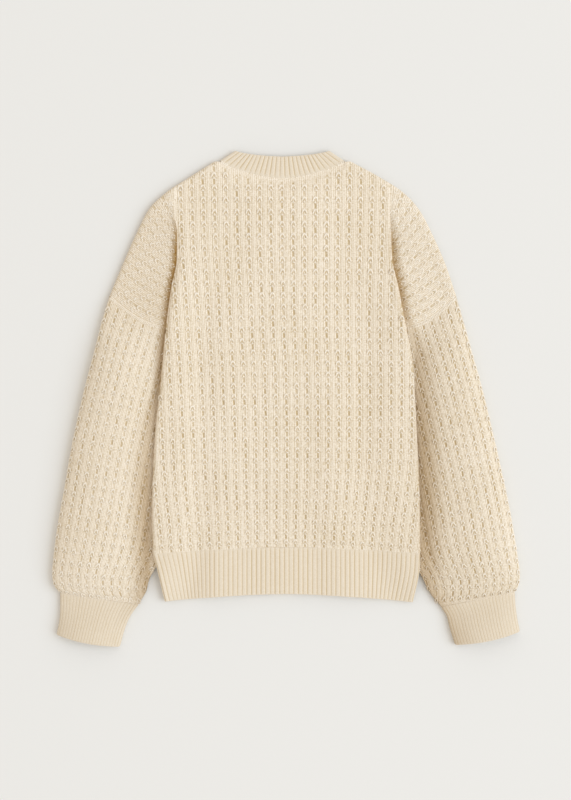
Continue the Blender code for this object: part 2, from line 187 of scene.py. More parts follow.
# %% Half of the neckband, from its front end to the middle of the back
Neck = namedtuple("Neck", "seam_x free_x free_y turn")
NECKBAND = [
    Neck(15.3, 15.3, 264, 0),
    Neck(28, 24, 265, 0),
    Neck(42, 35, 268, 0),
    Neck(60, 47, 277, 0),
    Neck(73, 56, 292, 0),
    Neck(81, 61, 311, 0),
    Neck(82.5, 62.5, 325, 0.15),
    Neck(82.3, 61.5, 330, 0.5),
    Neck(81.5, 60, 331.5, 0.85),
    Neck(73, 53, 330.5, 1),
    Neck(60, 44, 329, 1),
    Neck(42, 32, 327.5, 1),
    Neck(28, 21, 326.5, 1),
    Neck(0, 0, 325.5, 1),
]


# %% Curves through the tables
def through(rows, at):
    """The smooth curve through (position, value) rows, never past them, read at each position."""
    x, y = np.array(sorted(rows), float).T
    grade = np.diff(y) / np.diff(x)
    tilt = np.zeros(len(y))
    product = grade[:-1] * grade[1:]
    steady = product > 0
    tilt[1:-1][steady] = 2 * product[steady] / (grade[:-1] + grade[1:])[steady]
    tilt[0], tilt[-1] = grade[0], grade[-1]
    i = np.clip(np.searchsorted(x, at) - 1, 0, len(grade) - 1)
    run = x[i + 1] - x[i]
    t = np.clip((at - x[i]) / run, 0, 1)
    ends = y[i] * (1 + 2 * t) * (1 - t) ** 2 + y[i + 1] * t**2 * (3 - 2 * t)
    return ends + run * t * (1 - t) * (tilt[i] * (1 - t) - tilt[i + 1] * t)


def column_of(table, value, at):
    """A column of a table, as a smooth curve over another column."""
    return [(getattr(row, at), getattr(row, value)) for row in table]


def ease(t):
    """A smooth step from 0 to 1."""
    t = np.clip(t, 0, 1)
    return t * t * (3 - 2 * t)


def quarter(t):
    """A quarter circle's height: 0 at its foot, 1 from t = 1 on."""
    return np.sqrt(1 - (1 - np.clip(t, 0, 1)) ** 2)


def side_x(side, y):
    return through(column_of(SIDE, side, "y"), np.minimum(y, CREASE_TOP))


def outline_x(side, y):
    return through(column_of(OUTLINE, side, "y"), y)


def neck_seam_y(x, drop, power):
    """The seam between a panel and the neckband."""
    across = np.clip(np.abs(x - MIDDLE) / NECK_HALF, 0, 1)
    return NECK_SIDE_Y - drop * (1 - across**power)


def top_y(x, drop, power):
    """The top edge of a panel: the neck seam between the shoulders, and the shoulder outside them."""
    x = np.asarray(x, float)
    left = through(column_of(OUTLINE, "y", "left"), x)
    right = through(column_of(OUTLINE, "y", "right"), x)
    shoulder = np.where(x < MIDDLE, left, right)
    return np.where(np.abs(x - MIDDLE) <= NECK_HALF, neck_seam_y(x, drop, power), shoulder)


def back_top_y(x):
    return top_y(x, *BACK_NECK)


def front_top_y(x):
    return top_y(x, *FRONT_NECK)


def hem_seam_y(x):
    """The seam between a panel and the hem, which sags towards the sides."""
    return HEM_SEAM_Y - 8 * np.abs((x - 6) / 176) ** 1.5


def hem_edge_y(x):
    return HEM_SEAM_Y - HEM_DEPTH - 11 * np.abs(x / 170) ** 1.6


print("body:", round(float(side_x("right", 0) - side_x("left", 0))), "mm across at half its height")

# %% [markdown]
# ## How the layers lie
#
# The fronts lie on the table and the back lies on them. Three things lift the cloth: the sleeves under the
# body's sides, the folds of the dropped shoulders, and the two button bands down the middle. Each rise is a
# smooth step, so the cloth slopes instead of standing up like a stair.


# %% Rises, shared by all the layers
def inside_of_side(x, y):
    """How far a point is inside the body's side fold or shoulder crease. It is negative outside them."""
    return np.where(x < MIDDLE, x - side_x("left", y), side_x("right", y) - x)


def inside_of_outline(x, y):
    """How far a point is inside the shoulder's outline, measured square to it."""
    y = np.clip(y, OUTLINE[-1].y, OUTLINE[0].y)
    gap = np.where(x < MIDDLE, x - outline_x("left", y), outline_x("right", y) - x)
    lower = np.where(x < MIDDLE, x - outline_x("left", y - 4), outline_x("right", y - 4) - x)
    return gap / np.hypot(1, (lower - gap) / 4)


def lift(x, y):
    """How far a layer of the body is raised at its sides, by the sleeve or by the folds of the shoulder."""
    left, right = (through(column_of(SLEEVE[side], "inner_x", "inner_y"), y) for side in ("left", "right"))
    fold = np.where(x < MIDDLE, -left, right)
    crease = np.where(x < MIDDLE, -side_x("left", y), side_x("right", y))
    start = np.where(y < UNDERARM, fold, crease) - LAP_INSET - LAP_SLOPE
    fade = 1 - ease((y - UNDERARM) / (CREASE_TOP - UNDERARM))
    return LAP * fade * ease((np.abs(x) - start) / LAP_SLOPE)


def climb(x, y, height):
    """What lies over the front bands rises to them from either side, and settles again above the neck."""
    rise = height * (1 - ease((np.abs(x - MIDDLE) - BAND_HALF - 1) / BAND_SLOPE))
    return rise * (1 - ease((y - BAND_TOP_Y) / 30))


# Soft folds that the back hangs in: the ridge's place at the hem, its lean, widths to both sides, and height.
Fold = namedtuple("Fold", "x lean before after height top")
FOLDS = [Fold(-92, 0.03, 36, 62, 4.2, 190), Fold(74, -0.06, 46, 80, 5.2, 110)]


def drape(x, y):
    """How far the back stands off the fronts in its soft folds, which fade out upwards."""
    stand = 0 * x
    for fold in FOLDS:
        away = x - fold.x - fold.lean * (y + 200)
        ridge = 1 - ease(np.abs(away) / np.where(away < 0, fold.before, fold.after))
        stand = stand + fold.height * ridge * ease((fold.top - y) / 140)
    return stand


def edge_distance(x, y):
    """How far a point of a panel is from the fold beside it."""
    return np.where(y < UNDERARM, inside_of_side(x, y), inside_of_outline(x, y))


def lap_share(x, y, start):
    """How much of the lift is left near the crease, where the cloth turns down over the shoulder."""
    free = ease((UNDERARM - y) / 12)
    return free + (1 - free) * quarter((inside_of_side(x, y) - start) / NOSE)


# %% Painted shade beside the body: how much of the light the crease keeps out, painted into the wool's colour
# depth is the share lost, width how far out it reaches, and near the part of it lost at the very edge.
Crease = namedtuple("Crease", "y depth width near")
CREASE_SHADE = {
    "left": [
        Crease(-320, 0.5, 30, 0.6),
        Crease(-230, 0.62, 38, 0.3),
        Crease(-130, 0.6, 40, 0.2),
        Crease(-30, 0.45, 30, 0.3),
        Crease(20, 0.6, 14, 0.9),
        Crease(120, 0.8, 12, 1),
        Crease(190, 1, 12, 1),
        Crease(215, 0.85, 10, 1),
        Crease(240, 0.35, 9, 1),
        Crease(262, 0, 6, 1),
    ],
    "right": [
        Crease(-330, 0.62, 88, 1),
        Crease(-285, 0.6, 66, 1),
        Crease(-240, 0.57, 42, 0.85),
        Crease(-130, 0.62, 42, 0.8),
        Crease(-30, 0.55, 40, 0.75),
        Crease(40, 0.4, 40, 0.3),
        Crease(85, 0.36, 26, 0.3),
        Crease(110, 0.55, 15, 1),
        Crease(150, 0.8, 16, 1),
        Crease(205, 0.78, 15, 1),
        Crease(238, 0.25, 10, 1),
        Crease(262, 0, 6, 1),
    ],
}
SLEEVE_SHADE = {"left": 0.035, "right": 0.02}  # painted shade that the sleeves take beyond the body's
LEFT_SHOULDER_SHADE = 0.07  # the painted shade that the left dropped shoulder has more than that
# How much darker the cuffs are painted, by the same mix as the painted shade.
CUFF_DARKENING = 0.075
CUFF_TOP_Y = -255


def crease_shade(points):
    """Painted shade: the light lost beside the body, from just inside its edge out over the sleeve and
    shoulder.
    """
    x, y = points[:, 0], points[:, 1]
    away = -inside_of_side(x, y)
    shade = np.zeros(len(x))
    for side, here in (("left", x < MIDDLE), ("right", x >= MIDDLE)):
        depth, width, near = (through(column_of(CREASE_SHADE[side], value, "y"), y) for value in Crease._fields[1:])
        depth = depth * (near + (1 - near) * ease(away / 9))
        shade = np.where(here, depth * (1 - ease(away / width)), shade)
    # Just inside the body's edge the shade ends within 1.6 mm, but for a faint remainder up to 14 mm in.
    shade = shade * np.maximum(ease(away / 1.6 + 1), 0.22 * ease(away / 14 + 1))
    # The outlying parts are painted a touch darker as a whole, the cuffs most of all. On the sleeves and the
    # left shoulder it is painted shade.
    left = SLEEVE_SHADE["left"] + LEFT_SHOULDER_SHADE * ease((y - 90) / 30)
    painted_darkening = np.where(x < MIDDLE, left, SLEEVE_SHADE["right"])
    painted_darkening = np.maximum(painted_darkening, CUFF_DARKENING * ease((CUFF_TOP_Y - y) / 12)) * ease(away / 10)
    return shade * (1 - painted_darkening) + painted_darkening


# %% The heights of each layer's outer face and hidden face
THINNED = 2.2  # how much a knitted panel thins where it meets the thinner ribbing


def toward_ribbing(x, y, top_at):
    """How much of its thickness a knitted panel has lost, near the hem and the neckband."""
    to_neck = np.where(np.abs(x - MIDDLE) < NECK_HALF, top_at(x) - y, FAR)
    return THINNED * (1 - ease(np.minimum(to_neck, y - hem_seam_y(x)) / 14))


def back_faces(x, y):
    """The heights of the back's outer face and of its hidden one, which lies on the fronts."""
    base = KNIT + SEAM + climb(x, y, 2 * RIB + 2 * SEAM - KNIT) + drape(x, y)
    under = base + lift(x, y) * lap_share(x, y, 4)
    full = base + KNIT + lift(x, y) * lap_share(x, y, 0) - toward_ribbing(x, y, back_top_y)
    return under + RIM + (full - under - RIM) * quarter(edge_distance(x, y) / FOLD), under


def front_faces(x, y):
    """The heights of a front's outer face, which lies on the table, and of its hidden one."""
    base = np.where(x < MIDDLE, climb(x, y, 2 * RIB + SEAM - KNIT), 0)
    under = base + lift(x, y) * ease((UNDERARM - y) / 12)
    over = base + KNIT + lift(x, y) * lap_share(x, y, 4)
    return over - RIM - (over - under - RIM) * quarter(edge_distance(x, y) / FOLD), over


def hem_back_faces(x, y, fold):
    """The same for the hem, where fold is how far a place is from the hem's side fold."""
    under = RIB + SEAM + climb(x, y, RIB + SEAM) + lift(x, y) + drape(x, y)
    return under + RIM + (RIB - RIM) * quarter(fold / RIB), under


def hem_front_faces(x, y, fold):
    over = RIB + np.where(x < MIDDLE, climb(x, y, RIB + SEAM), 0) + lift(x, y)
    return over - RIM - (RIB - RIM) * quarter(fold / RIB), over


print("the body's sides lap", LAP, "mm up over the sleeves")

# %% [markdown]
# ## The stitch grid
#
# The whole garment is one small motif repeated: a loop tucked over a column, with a hole under it. So each
# piece of cloth gets a grid: `column` counts the motifs across and `row` counts them up. Everything later,
# the relief, the loops and the colour, asks for these two numbers, and for a `strength` that lets the relief
# fade out towards a border. They are stored on each point of the mesh as attributes, which stay with the
# cloth where it folds.
#
# Knitting relaxes as it hangs and is laid out, so the motifs are a little wider and taller near the neck.

# %% The grid of the body
MOTIF = 14.3  # usual width of a motif, which the loops are made to
Spread = namedtuple("Spread", "y middle pitch")
COLUMNS = [
    Spread(-215, 0.6, 12.7),
    Spread(-175, 1.0, 12.95),
    Spread(-128, 1.7, 13.45),
    Spread(-74, 2.2, 13.85),
    Spread(34, 0.6, 14.15),
    Spread(88, -1.7, 14.3),
    Spread(146, -3.0, 14.55),
    Spread(210, -4.3, 14.95),
    Spread(330, -4.8, 15.3),
]
FIRST_ROW_Y = -185.7  # the middle of the lowest holes
ROW_PITCH = 13.24
ROW_GROWTH = 0.0527
HOLE_AT = 0.45  # where a hole's middle is in its row
TURNED = 2 * HOLE_AT  # minus a row that is counted downwards, it is that row counted upwards


def body_flat(column, row):
    """Where a place on the grid is on the flat body, before its sides fold under."""
    count = row - HOLE_AT
    y = FIRST_ROW_Y + ROW_PITCH * count + ROW_GROWTH * count * np.abs(count)
    x = through(column_of(COLUMNS, "middle", "y"), y) + column * through(column_of(COLUMNS, "pitch", "y"), y)
    return x, y + (hem_seam_y(x) - HEM_SEAM_Y) * np.exp(-np.maximum(y + 200, 0) / 120)


def around_fold(along, radius):
    """How far in from a fold a point is seen, for its distance along the cloth from the fold's middle."""
    turned = np.minimum(along / radius, pi / 2)
    return np.where(along < radius * pi / 2, radius * (1 - np.cos(turned)), along - FOLD_SPARE * radius)


def body_place(column, row, top_at):
    """A place on the body, folded: x, y, and how far inside its borders it is."""
    x, y = body_flat(column, row)
    radius = np.maximum(FOLD * (1 - ease((y - UNDERARM + 12) / 12)), 0.01)
    spare = FOLD_SPARE * radius
    side = np.where(x < MIDDLE, side_x("left", y), side_x("right", y))
    sign = np.where(x < MIDDLE, 1, -1)
    inside = around_fold(np.maximum((x - side) * sign + spare, 0), radius)
    x = side + sign * inside
    shoulder = np.abs(x - MIDDLE) > NECK_HALF
    down = around_fold(np.maximum(top_at(x) - y + FOLD_SPARE * FOLD, 0), FOLD)
    y = np.where(shoulder, top_at(x) - down, y)
    to_top = np.where(shoulder, down, top_at(x) - y)
    return x, y, np.minimum(np.minimum(inside, to_top), y - hem_seam_y(x) - JOIN / 2)


# %% The grid of a dropped shoulder, whose columns fan out to the armhole
WING_COLUMNS = 12
WING_ROW = 14.8  # length of a motif down from the shoulder's outline
WING_STRENGTH = {"left": 0.42, "right": 0.55}  # how deep the relief is there, beside the body's


def wing_place(side, column, row, top_at):
    """A place on the dropped shoulder: rows count down from its outline, along each column of the fan."""
    share = np.clip(column / WING_COLUMNS, 0, 1)
    armhole = SLEEVE[side][0]
    top_x = float(side_x(side, CREASE_TOP))
    top = float(top_at(top_x))
    outer_y = top + (armhole.outer_y - top) * share
    outer_x = np.where(share == 0, top_x, outline_x(side, outer_y))
    inner_y = CREASE_TOP + (UNDERARM - CREASE_TOP) * share
    inner_x = side_x(side, inner_y)
    length = np.hypot(inner_x - outer_x, inner_y - outer_y)
    seen = around_fold(row * WING_ROW, FOLD)
    along = seen / length
    x = outer_x + (inner_x - outer_x) * along
    y = outer_y + (inner_y - outer_y) * along - armhole.bow * share**3 * 4 * along * (1 - along)
    to_fan = np.minimum(column, WING_COLUMNS - column) * MOTIF * 0.6
    return x, y, np.minimum(np.minimum(seen, (length - seen) * 0.8), to_fan)


print("the body has about", round(360 / COLUMNS[1].pitch), "columns of motifs at its hem")


# %% [markdown]
# ## Arithmetic in node trees
#
# The relief of a stitch is a formula of `column` and `row`, and Geometry Nodes can work it out for every
# point at once. A formula made of Math nodes is tedious to wire by hand, so a small class does it: adding or
# multiplying two `Number`s adds a Math node and links it. The same class works in shader trees.


# %% Giving a node what it needs
def give(place, value):
    """Gives an input a plain value, or links it to a socket or a Number."""
    if isinstance(value, Number):
        value = value.socket
    if isinstance(value, bpy.types.NodeSocket):
        place.id_data.links.new(value, place)
    else:
        place.default_value = value


def add_node(tree, kind, inputs=None, **settings):
    """A new node with its settings, whose inputs are then given by name."""
    node = tree.nodes.new(kind)
    for name, value in settings.items():
        setattr(node, name, value)
    for name, value in (inputs or {}).items():
        give(node.inputs[name], value)
    return node


# %% A number in a node tree
class Number:
    """A socket that arithmetic can be done on. Each operation adds one node to the socket's tree."""

    def __init__(self, socket):
        self.socket = socket
        self.tree = socket.id_data

    def math(self, operation, *others, swapped=False):
        node = add_node(self.tree, "ShaderNodeMath", operation=operation)
        values = (self, *others)[::-1] if swapped else (self, *others)
        for place, value in zip(node.inputs, values):
            give(place, value)
        return Number(node.outputs[0])

    def __add__(self, other):
        return self.math("ADD", other)

    def __sub__(self, other):
        return self.math("SUBTRACT", other)

    def __rsub__(self, other):
        return self.math("SUBTRACT", other, swapped=True)

    def __mul__(self, other):
        return self.math("MULTIPLY", other)

    def __abs__(self):
        return self.math("ABSOLUTE")

    __radd__, __rmul__ = __add__, __mul__

    def power(self, exponent):
        return self.math("POWER", exponent)

    def fraction(self):
        return self.math("FRACT")

    def whole(self):
        return self.math("FLOOR")

    def wave(self):
        return self.math("SINE")

    def from_whole(self):
        """The distance to the nearest whole number, with its sign: from -0.5 to 0.5."""
        return (self + 0.5).fraction() - 0.5

    def ramp(self, start, end):
        """0 before start, 1 after end, and a smooth step between them."""
        range_of = {"Value": self, "From Min": start, "From Max": end}
        node = add_node(self.tree, "ShaderNodeMapRange", range_of, interpolation_type="SMOOTHSTEP")
        return Number(node.outputs["Result"])


# %% Helpers for building a tree
GEOMETRY, OBJECT, MATERIAL = "NodeSocketGeometry", "NodeSocketObject", "NodeSocketMaterial"
SOCKET_FOR = {float: "NodeSocketFloat", int: "NodeSocketInt", tuple: "NodeSocketColor"}


def new_tree(name, kind, inputs, outputs):
    """A node tree with named sockets, and its input and output nodes. An input is told by its usual value,
    or by the type of its socket if it has none."""
    tree = bpy.data.node_groups.new(name, kind)
    for label, value in inputs.items():
        socket_type = SOCKET_FOR.get(type(value), value)
        socket = tree.interface.new_socket(label, in_out="INPUT", socket_type=socket_type)
        if type(value) in SOCKET_FOR:
            socket.default_value = value
    for label, socket_type in outputs.items():
        tree.interface.new_socket(label, in_out="OUTPUT", socket_type=socket_type)
    return tree, tree.nodes.new("NodeGroupInput"), tree.nodes.new("NodeGroupOutput")


def geometry_tree(name, **sizes):
    """A Geometry Nodes tree, whose inputs are a geometry, the sizes and a material."""
    labels = {label.replace("_", " ").title(): value for label, value in sizes.items()}
    inputs = {"Geometry": GEOMETRY, **labels, "Material": MATERIAL}
    return new_tree(name, "GeometryNodeTree", inputs, {"Geometry": GEOMETRY})


def inputs_of(start, *names):
    """Some of a tree's inputs, as Numbers."""
    return [Number(start.outputs[name]) for name in names]


def attribute(tree, name, data_type="FLOAT"):
    """What each point of a mesh carries under a name, as a socket."""
    node = add_node(tree, "GeometryNodeInputNamedAttribute", {"Name": name}, data_type=data_type)
    return node.outputs["Attribute"]


def attributes(tree, *names):
    """Several attributes, as Numbers."""
    return [Number(attribute(tree, name)) for name in names]


def random_value(tree, **inputs):
    """A random number from 0 to 1 for each point, or for each ID where that is given."""
    return Number(add_node(tree, "FunctionNodeRandomValue", inputs).outputs["Value"])


def noise(tree, scale, detail=2):
    """Soft random waves between 0 and 1, over the object in a material and over positions elsewhere."""
    node = add_node(tree, "ShaderNodeTexNoise", {"Scale": scale, "Detail": detail})
    if tree.type == "SHADER":
        place = tree.nodes.new("ShaderNodeTexCoord")
        give(node.inputs["Vector"], place.outputs["Object"])
    return Number(node.outputs["Fac"])


def scaled(tree, vector, factor):
    """A vector times a number."""
    inputs = {"Vector": vector, "Scale": factor}
    return add_node(tree, "ShaderNodeVectorMath", inputs, operation="SCALE").outputs["Vector"]


def stored(tree, name, value):
    """A step that keeps a value on each point, for the material to read."""
    return add_node(tree, "GeometryNodeStoreNamedAttribute", {"Name": name, "Value": value})


def pushed(tree, height):
    """A step that moves each point along its normal by a height."""
    normal = tree.nodes.new("GeometryNodeInputNormal").outputs["Normal"]
    return add_node(tree, "GeometryNodeSetPosition", {"Offset": scaled(tree, normal, height)})


# %% The end that every Geometry Nodes tree has: realized instances and a material
def finish_tree(tree, start, steps, end):
    """Links geometry through the steps, then Realize Instances and Set Material."""
    realize = tree.nodes.new("GeometryNodeRealizeInstances")
    finish = add_node(tree, "GeometryNodeSetMaterial", {"Material": start.outputs["Material"]})
    before = start.outputs["Geometry"]
    for step in (*steps, realize, finish):
        place = next(socket for socket in step.inputs if socket.type == "GEOMETRY")
        give(place, before)
        before = next(socket for socket in step.outputs if socket.type == "GEOMETRY")
    give(end.inputs["Geometry"], before)
    print(tree.name.lower(), "is a tree of", len(tree.nodes), "nodes")


# %% Running a tree on a piece
CRISP = radians(68)  # an edge sharper than this is where cloth is cut off, and keeps its corner


def apply_modifiers(piece):
    """Makes what a piece's modifiers show its own plain mesh."""
    bpy.context.view_layer.update()
    evaluated = piece.evaluated_get(bpy.context.evaluated_depsgraph_get())
    mesh = bpy.data.meshes.new_from_object(evaluated)
    piece.modifiers.clear()
    old = piece.data
    piece.data = mesh
    bpy.data.meshes.remove(old)
    mesh.name = piece.name


def run_tree(piece, tree, **inputs):
    """Runs a tree on a piece and keeps the result as its plain mesh."""
    modifier = piece.modifiers.new(tree.name, "NODES")
    modifier.node_group = tree
    for socket in tree.interface.items_tree:
        label = socket.name.replace(" ", "_").lower()
        if socket.in_out == "INPUT" and label in inputs:
            modifier[socket.identifier] = inputs[label]
    apply_modifiers(piece)
    if tree != SET_STITCHES:
        piece.data.set_sharp_from_angle(angle=CRISP)


# %% [markdown]
# ## The relief of the tuck stitch
#
# In each motif two strands tuck over the column and pull together above a small slot. Between the columns
# stand flat ribs of plain stitches. The motif is drawn once, as a handful of shapes that are near 1 where
# they are and 0 elsewhere. Both the relief and the material use it, so the shade that the material paints
# into a slot follows its depth.
#
# A displacement could be left to the material as bump, but then the slots would vanish at the outline and in
# the mesh itself. Real relief costs points, so there is one about every 1.5 mm and finer threads are bump.

# %% The shapes in a motif
# Sizes across it are in millimetres from the middle of its column. Sizes up it are shares of a row.
Motif = namedtuple("Motif", "slot chevron flank groove rib")
CHEVRON_AT = 0.937
CHEVRON_SLOPE = 0.073


def tuck(column, row, loose):
    """The shapes at a place on the stitch grid. loose, from 0 to 1, is how slack its motif happens to be."""
    sideways = (column + loose * 0.05 - 0.025).from_whole() * MOTIF
    across = abs(sideways)
    row = row + loose * 0.06 - 0.03

    def away(centre, slope=0.0):
        return abs((row + across * slope - centre).from_whole())

    leaning = abs(sideways + (row - HOLE_AT).from_whole() * 1.2)
    slot = (1 - leaning.ramp(0.4, 1.7)) * (1 - away(HOLE_AT).ramp(0.17, 0.26)) * (0.55 + 0.9 * loose)
    chevron = (1 - away(CHEVRON_AT, CHEVRON_SLOPE).ramp(0.02, 0.09)) * (1 - across.ramp(2.0, 3.4))
    flank = (1 - abs(across - 2.8).ramp(0.2, 1.5)) * (1 - away(0.42).ramp(0.26, 0.42))
    length = 0.35 + 0.65 * (1 - away(0.04).ramp(0.08, 0.2)) + 0.4 * (1 - away(0.73).ramp(0.04, 0.14))
    groove = (1 - abs(across - 4.2).ramp(0.1, 0.8)) * length
    return Motif(slot, chevron, flank, groove, rib=across.ramp(4.1, 5.0))


# %% A tree for the knit's relief
KNIT_RELIEF, start, end = geometry_tree(
    "Knit relief", hole_depth=0.0012, rib_height=0.0006, unevenness=0.0007, seed=3
)
column, row, strength = attributes(KNIT_RELIEF, "column", "row", "strength")
hole_depth, rib_height, unevenness = inputs_of(start, "Hole Depth", "Rib Height", "Unevenness")
motif_number = (column + 0.5).whole() * 173 + row.whole() * 7 + 4000
loose = random_value(KNIT_RELIEF, ID=motif_number, Seed=start.outputs["Seed"])
shapes = tuck(column, row, loose)
waves = noise(KNIT_RELIEF, 18, 1) - 0.5
raised = (shapes.rib * 0.5 + shapes.flank * 0.7 - shapes.groove * 0.3 - 0.4) * rib_height
height = (raised - (shapes.slot + shapes.chevron * 0.4) * hole_depth + waves * unevenness) * strength
finish_tree(KNIT_RELIEF, start, [stored(KNIT_RELIEF, "loose", loose), pushed(KNIT_RELIEF, height)], end)

# %% [markdown]
# Ribbing is simpler: ridges of knit stitches with a narrow groove of purl between them. Its points carry
# `rib`, which counts the ridges, and `stitch`, which counts the rows along them.

# %% A tree for ribbing
RIB_RELIEF, start, end = geometry_tree(
    "Rib relief", rib_height=0.0006, groove_tone=0.8, unevenness=0.0004, seed=5
)
rib, strength = attributes(RIB_RELIEF, "rib", "strength")
rib_height, groove_tone, unevenness = inputs_of(start, "Rib Height", "Groove Tone", "Unevenness")
ridge = random_value(RIB_RELIEF, ID=(rib + 0.5).whole() + 500, Seed=start.outputs["Seed"])
from_groove = 1 - abs(rib.from_whole()) * 2
profile = (1 - (1 - from_groove).power(2.6)) * (0.8 + 0.4 * ridge)
waves = noise(RIB_RELIEF, 25) - 0.5
height = (profile - 0.75) * rib_height * strength + waves * unevenness * strength
# Painted shade in the grooves: `hollow`, scaled by groove_tone, darkens the wool there.
depth = (1 - from_groove.ramp(0.0, 0.3)) * (0.55 + 0.45 * ridge)
hollow = depth * strength * groove_tone
finish_tree(RIB_RELIEF, start, [stored(RIB_RELIEF, "hollow", hollow), pushed(RIB_RELIEF, height)], end)

# %% [markdown]
# The loops themselves are separate strands that cross over the cloth. They are all the same shape, so one
# loop is modelled and set on a point in each motif. Each point carries `facing` and `along`, the directions
# that the loop's up and length follow, and `size`. A little random turn and size keeps them hand-made.

# %% A tree that sets a stitch on every point
SET_STITCHES, start, end = geometry_tree(
    "Set stitches", stitch=OBJECT, size_spread=0.08, turn_spread=0.08, seed=11
)
seed, turn_spread, size_spread = inputs_of(start, "Seed", "Turn Spread", "Size Spread")
directions = {
    "Primary Axis": attribute(SET_STITCHES, "facing", "FLOAT_VECTOR"),
    "Secondary Axis": attribute(SET_STITCHES, "along", "FLOAT_VECTOR"),
}
facing = add_node(
    SET_STITCHES, "FunctionNodeAxesToRotation", directions, primary_axis="Z", secondary_axis="Y"
)
angle = (random_value(SET_STITCHES, Seed=seed) * 2 - 1) * turn_spread
spin = add_node(SET_STITCHES, "FunctionNodeAxisAngleToRotation", {"Axis": (0, 0, 1), "Angle": angle})
both_turns = {"Rotation": facing.outputs["Rotation"], "Rotate By": spin.outputs["Rotation"]}
turn = add_node(SET_STITCHES, "FunctionNodeRotateRotation", both_turns, rotation_space="LOCAL")
growth = 1 + (random_value(SET_STITCHES, Seed=seed + 1) * 2 - 1) * size_spread
shape = add_node(SET_STITCHES, "GeometryNodeObjectInfo", {"Object": start.outputs["Stitch"]})
placing = {
    "Instance": shape.outputs["Geometry"],
    "Rotation": turn.outputs["Rotation"],
    "Scale": scaled(SET_STITCHES, attribute(SET_STITCHES, "size", "FLOAT_VECTOR"), growth),
}
finish_tree(SET_STITCHES, start, [add_node(SET_STITCHES, "GeometryNodeInstanceOnPoints", placing)], end)

# %% [markdown]
# ## Making a cloth shell
#
# Each panel is a closed shell: a fine outer face, which takes the relief, and a plain hidden face under it.
# The outer face is not a simple rectangle of points, because its borders are curved while its stitches are
# not. So the points of the stitch grid that fall inside the border are joined by a Delaunay triangulation,
# which also takes the border and the shoulder creases as lines it must follow.


# %% A mesh with a value for each point
def new_object(name, data):
    """A new object in the scene."""
    made = bpy.data.objects.new(name, data)
    bpy.context.scene.collection.objects.link(made)
    return made


def from_bmesh(name, shape):
    """A new object from a bmesh, which is freed."""
    mesh = bpy.data.meshes.new(name)
    shape.to_mesh(mesh)
    shape.free()
    return new_object(name, mesh)


def add_piece(name, points, faces, **values):
    """A closed mesh object from points in millimetres, its normals pointing out, with point attributes."""
    points = np.array(points, float)
    # Every piece carries the painted shade beside the body as its `shaded` attribute.
    values["shaded"] = crease_shade(points)
    points[:, :2] += SHIFT
    mesh = bpy.data.meshes.new(name)
    mesh.from_pydata((points * MM).tolist(), [], faces)
    shape = bmesh.new()
    shape.from_mesh(mesh)
    bmesh.ops.recalc_face_normals(shape, faces=shape.faces)
    shape.to_mesh(mesh)
    shape.free()
    mesh.shade_smooth()
    for label, numbers in values.items():
        numbers = np.asarray(numbers, np.float32)
        kind = "FLOAT" if numbers.ndim == 1 else "FLOAT_VECTOR"
        kept = mesh.attributes.new(label, kind, "POINT")
        kept.data.foreach_set("value" if kind == "FLOAT" else "vector", numbers.ravel())
    return new_object(name, mesh)


def evenly(points, step):
    """A line's points, spaced evenly along it and about a step apart."""
    points = np.array(points, float)
    reached = np.append(0, np.cumsum(np.hypot(*np.diff(points, axis=0).T)))
    at = np.linspace(0, reached[-1], max(2, round(reached[-1] / step) + 1))
    return np.column_stack([np.interp(at, reached, values) for values in points.T])


def triangulated(border, lines, inner):
    """Triangles that fill a border, through lines and single points inside it."""
    points = np.concatenate([border, *lines, inner])
    edges = [(i, (i + 1) % len(border)) for i in range(len(border))]
    first = len(border)
    for line in lines:
        edges += [(i, i + 1) for i in range(first, first + len(line) - 1)]
        first += len(line)
    made = delaunay_2d_cdt([Vector(p) for p in points.tolist()], edges, [], 1, 1e-6)
    return [tuple(face) for face in made[2]], len(made[0]) - len(points)


# %% The border of a panel, all round
BOTH = ("left", "right")
LEFT_X, RIGHT_X = (float(side_x(side, BODY_END_Y)) for side in BOTH)


def armhole(side, share):
    """Points along an armhole, from the underarm (0) to the outer fold (1)."""
    row = SLEEVE[side][0]
    x = row.inner_x + (row.outer_x - row.inner_x) * share
    y = row.inner_y + (row.outer_y - row.inner_y) * share - row.bow * 4 * share * (1 - share)
    return np.column_stack([x, y])


def body_side(side, step):
    """One side of a whole panel, from the hem up round the armhole to the neck's corner."""
    y = np.linspace(hem_seam_y(side_x(side, BODY_END_Y)) + JOIN / 2, UNDERARM, 200)
    shoulder_y = np.linspace(OUTLINE[-1].y, OUTLINE[0].y, 200)
    shoulder = np.column_stack([outline_x(side, shoulder_y), shoulder_y])
    lines = (np.column_stack([side_x(side, y), y]), armhole(side, np.linspace(0, 1, 41)), shoulder)
    return np.concatenate([*(evenly(line, step)[:-1] for line in lines), shoulder[-1:]])


def panel_border(sides, from_x, to_x, top_at, step):
    """A panel's border, anticlockwise from the lower left corner. A side that isn't one of the body's own is
    a straight edge."""
    x = np.linspace(from_x, to_x, 200)
    neck_x = np.linspace(min(to_x, MIDDLE + NECK_HALF), max(from_x, MIDDLE - NECK_HALF), 200)
    flanks = {}
    for side, edge in (("right", to_x), ("left", from_x)):
        if side in sides:
            flanks[side] = body_side(side, step)
        else:
            y = np.linspace(float(hem_seam_y(edge)) + JOIN / 2, float(top_at(edge)), 200)
            flanks[side] = evenly(np.column_stack([edge + 0 * y, y]), step)[:-1]
    bottom = evenly(np.column_stack([x, hem_seam_y(x) + JOIN / 2]), step)
    neck = evenly(np.column_stack([neck_x, top_at(neck_x)]), step)
    loop = np.concatenate([bottom, flanks["right"], neck, flanks["left"][::-1]])
    apart = np.hypot(*(loop - np.roll(loop, 1, axis=0)).T) > 0.3
    return loop[apart]


print("panel border:", len(panel_border(BOTH, LEFT_X, RIGHT_X, back_top_y, 1.5)), "points")
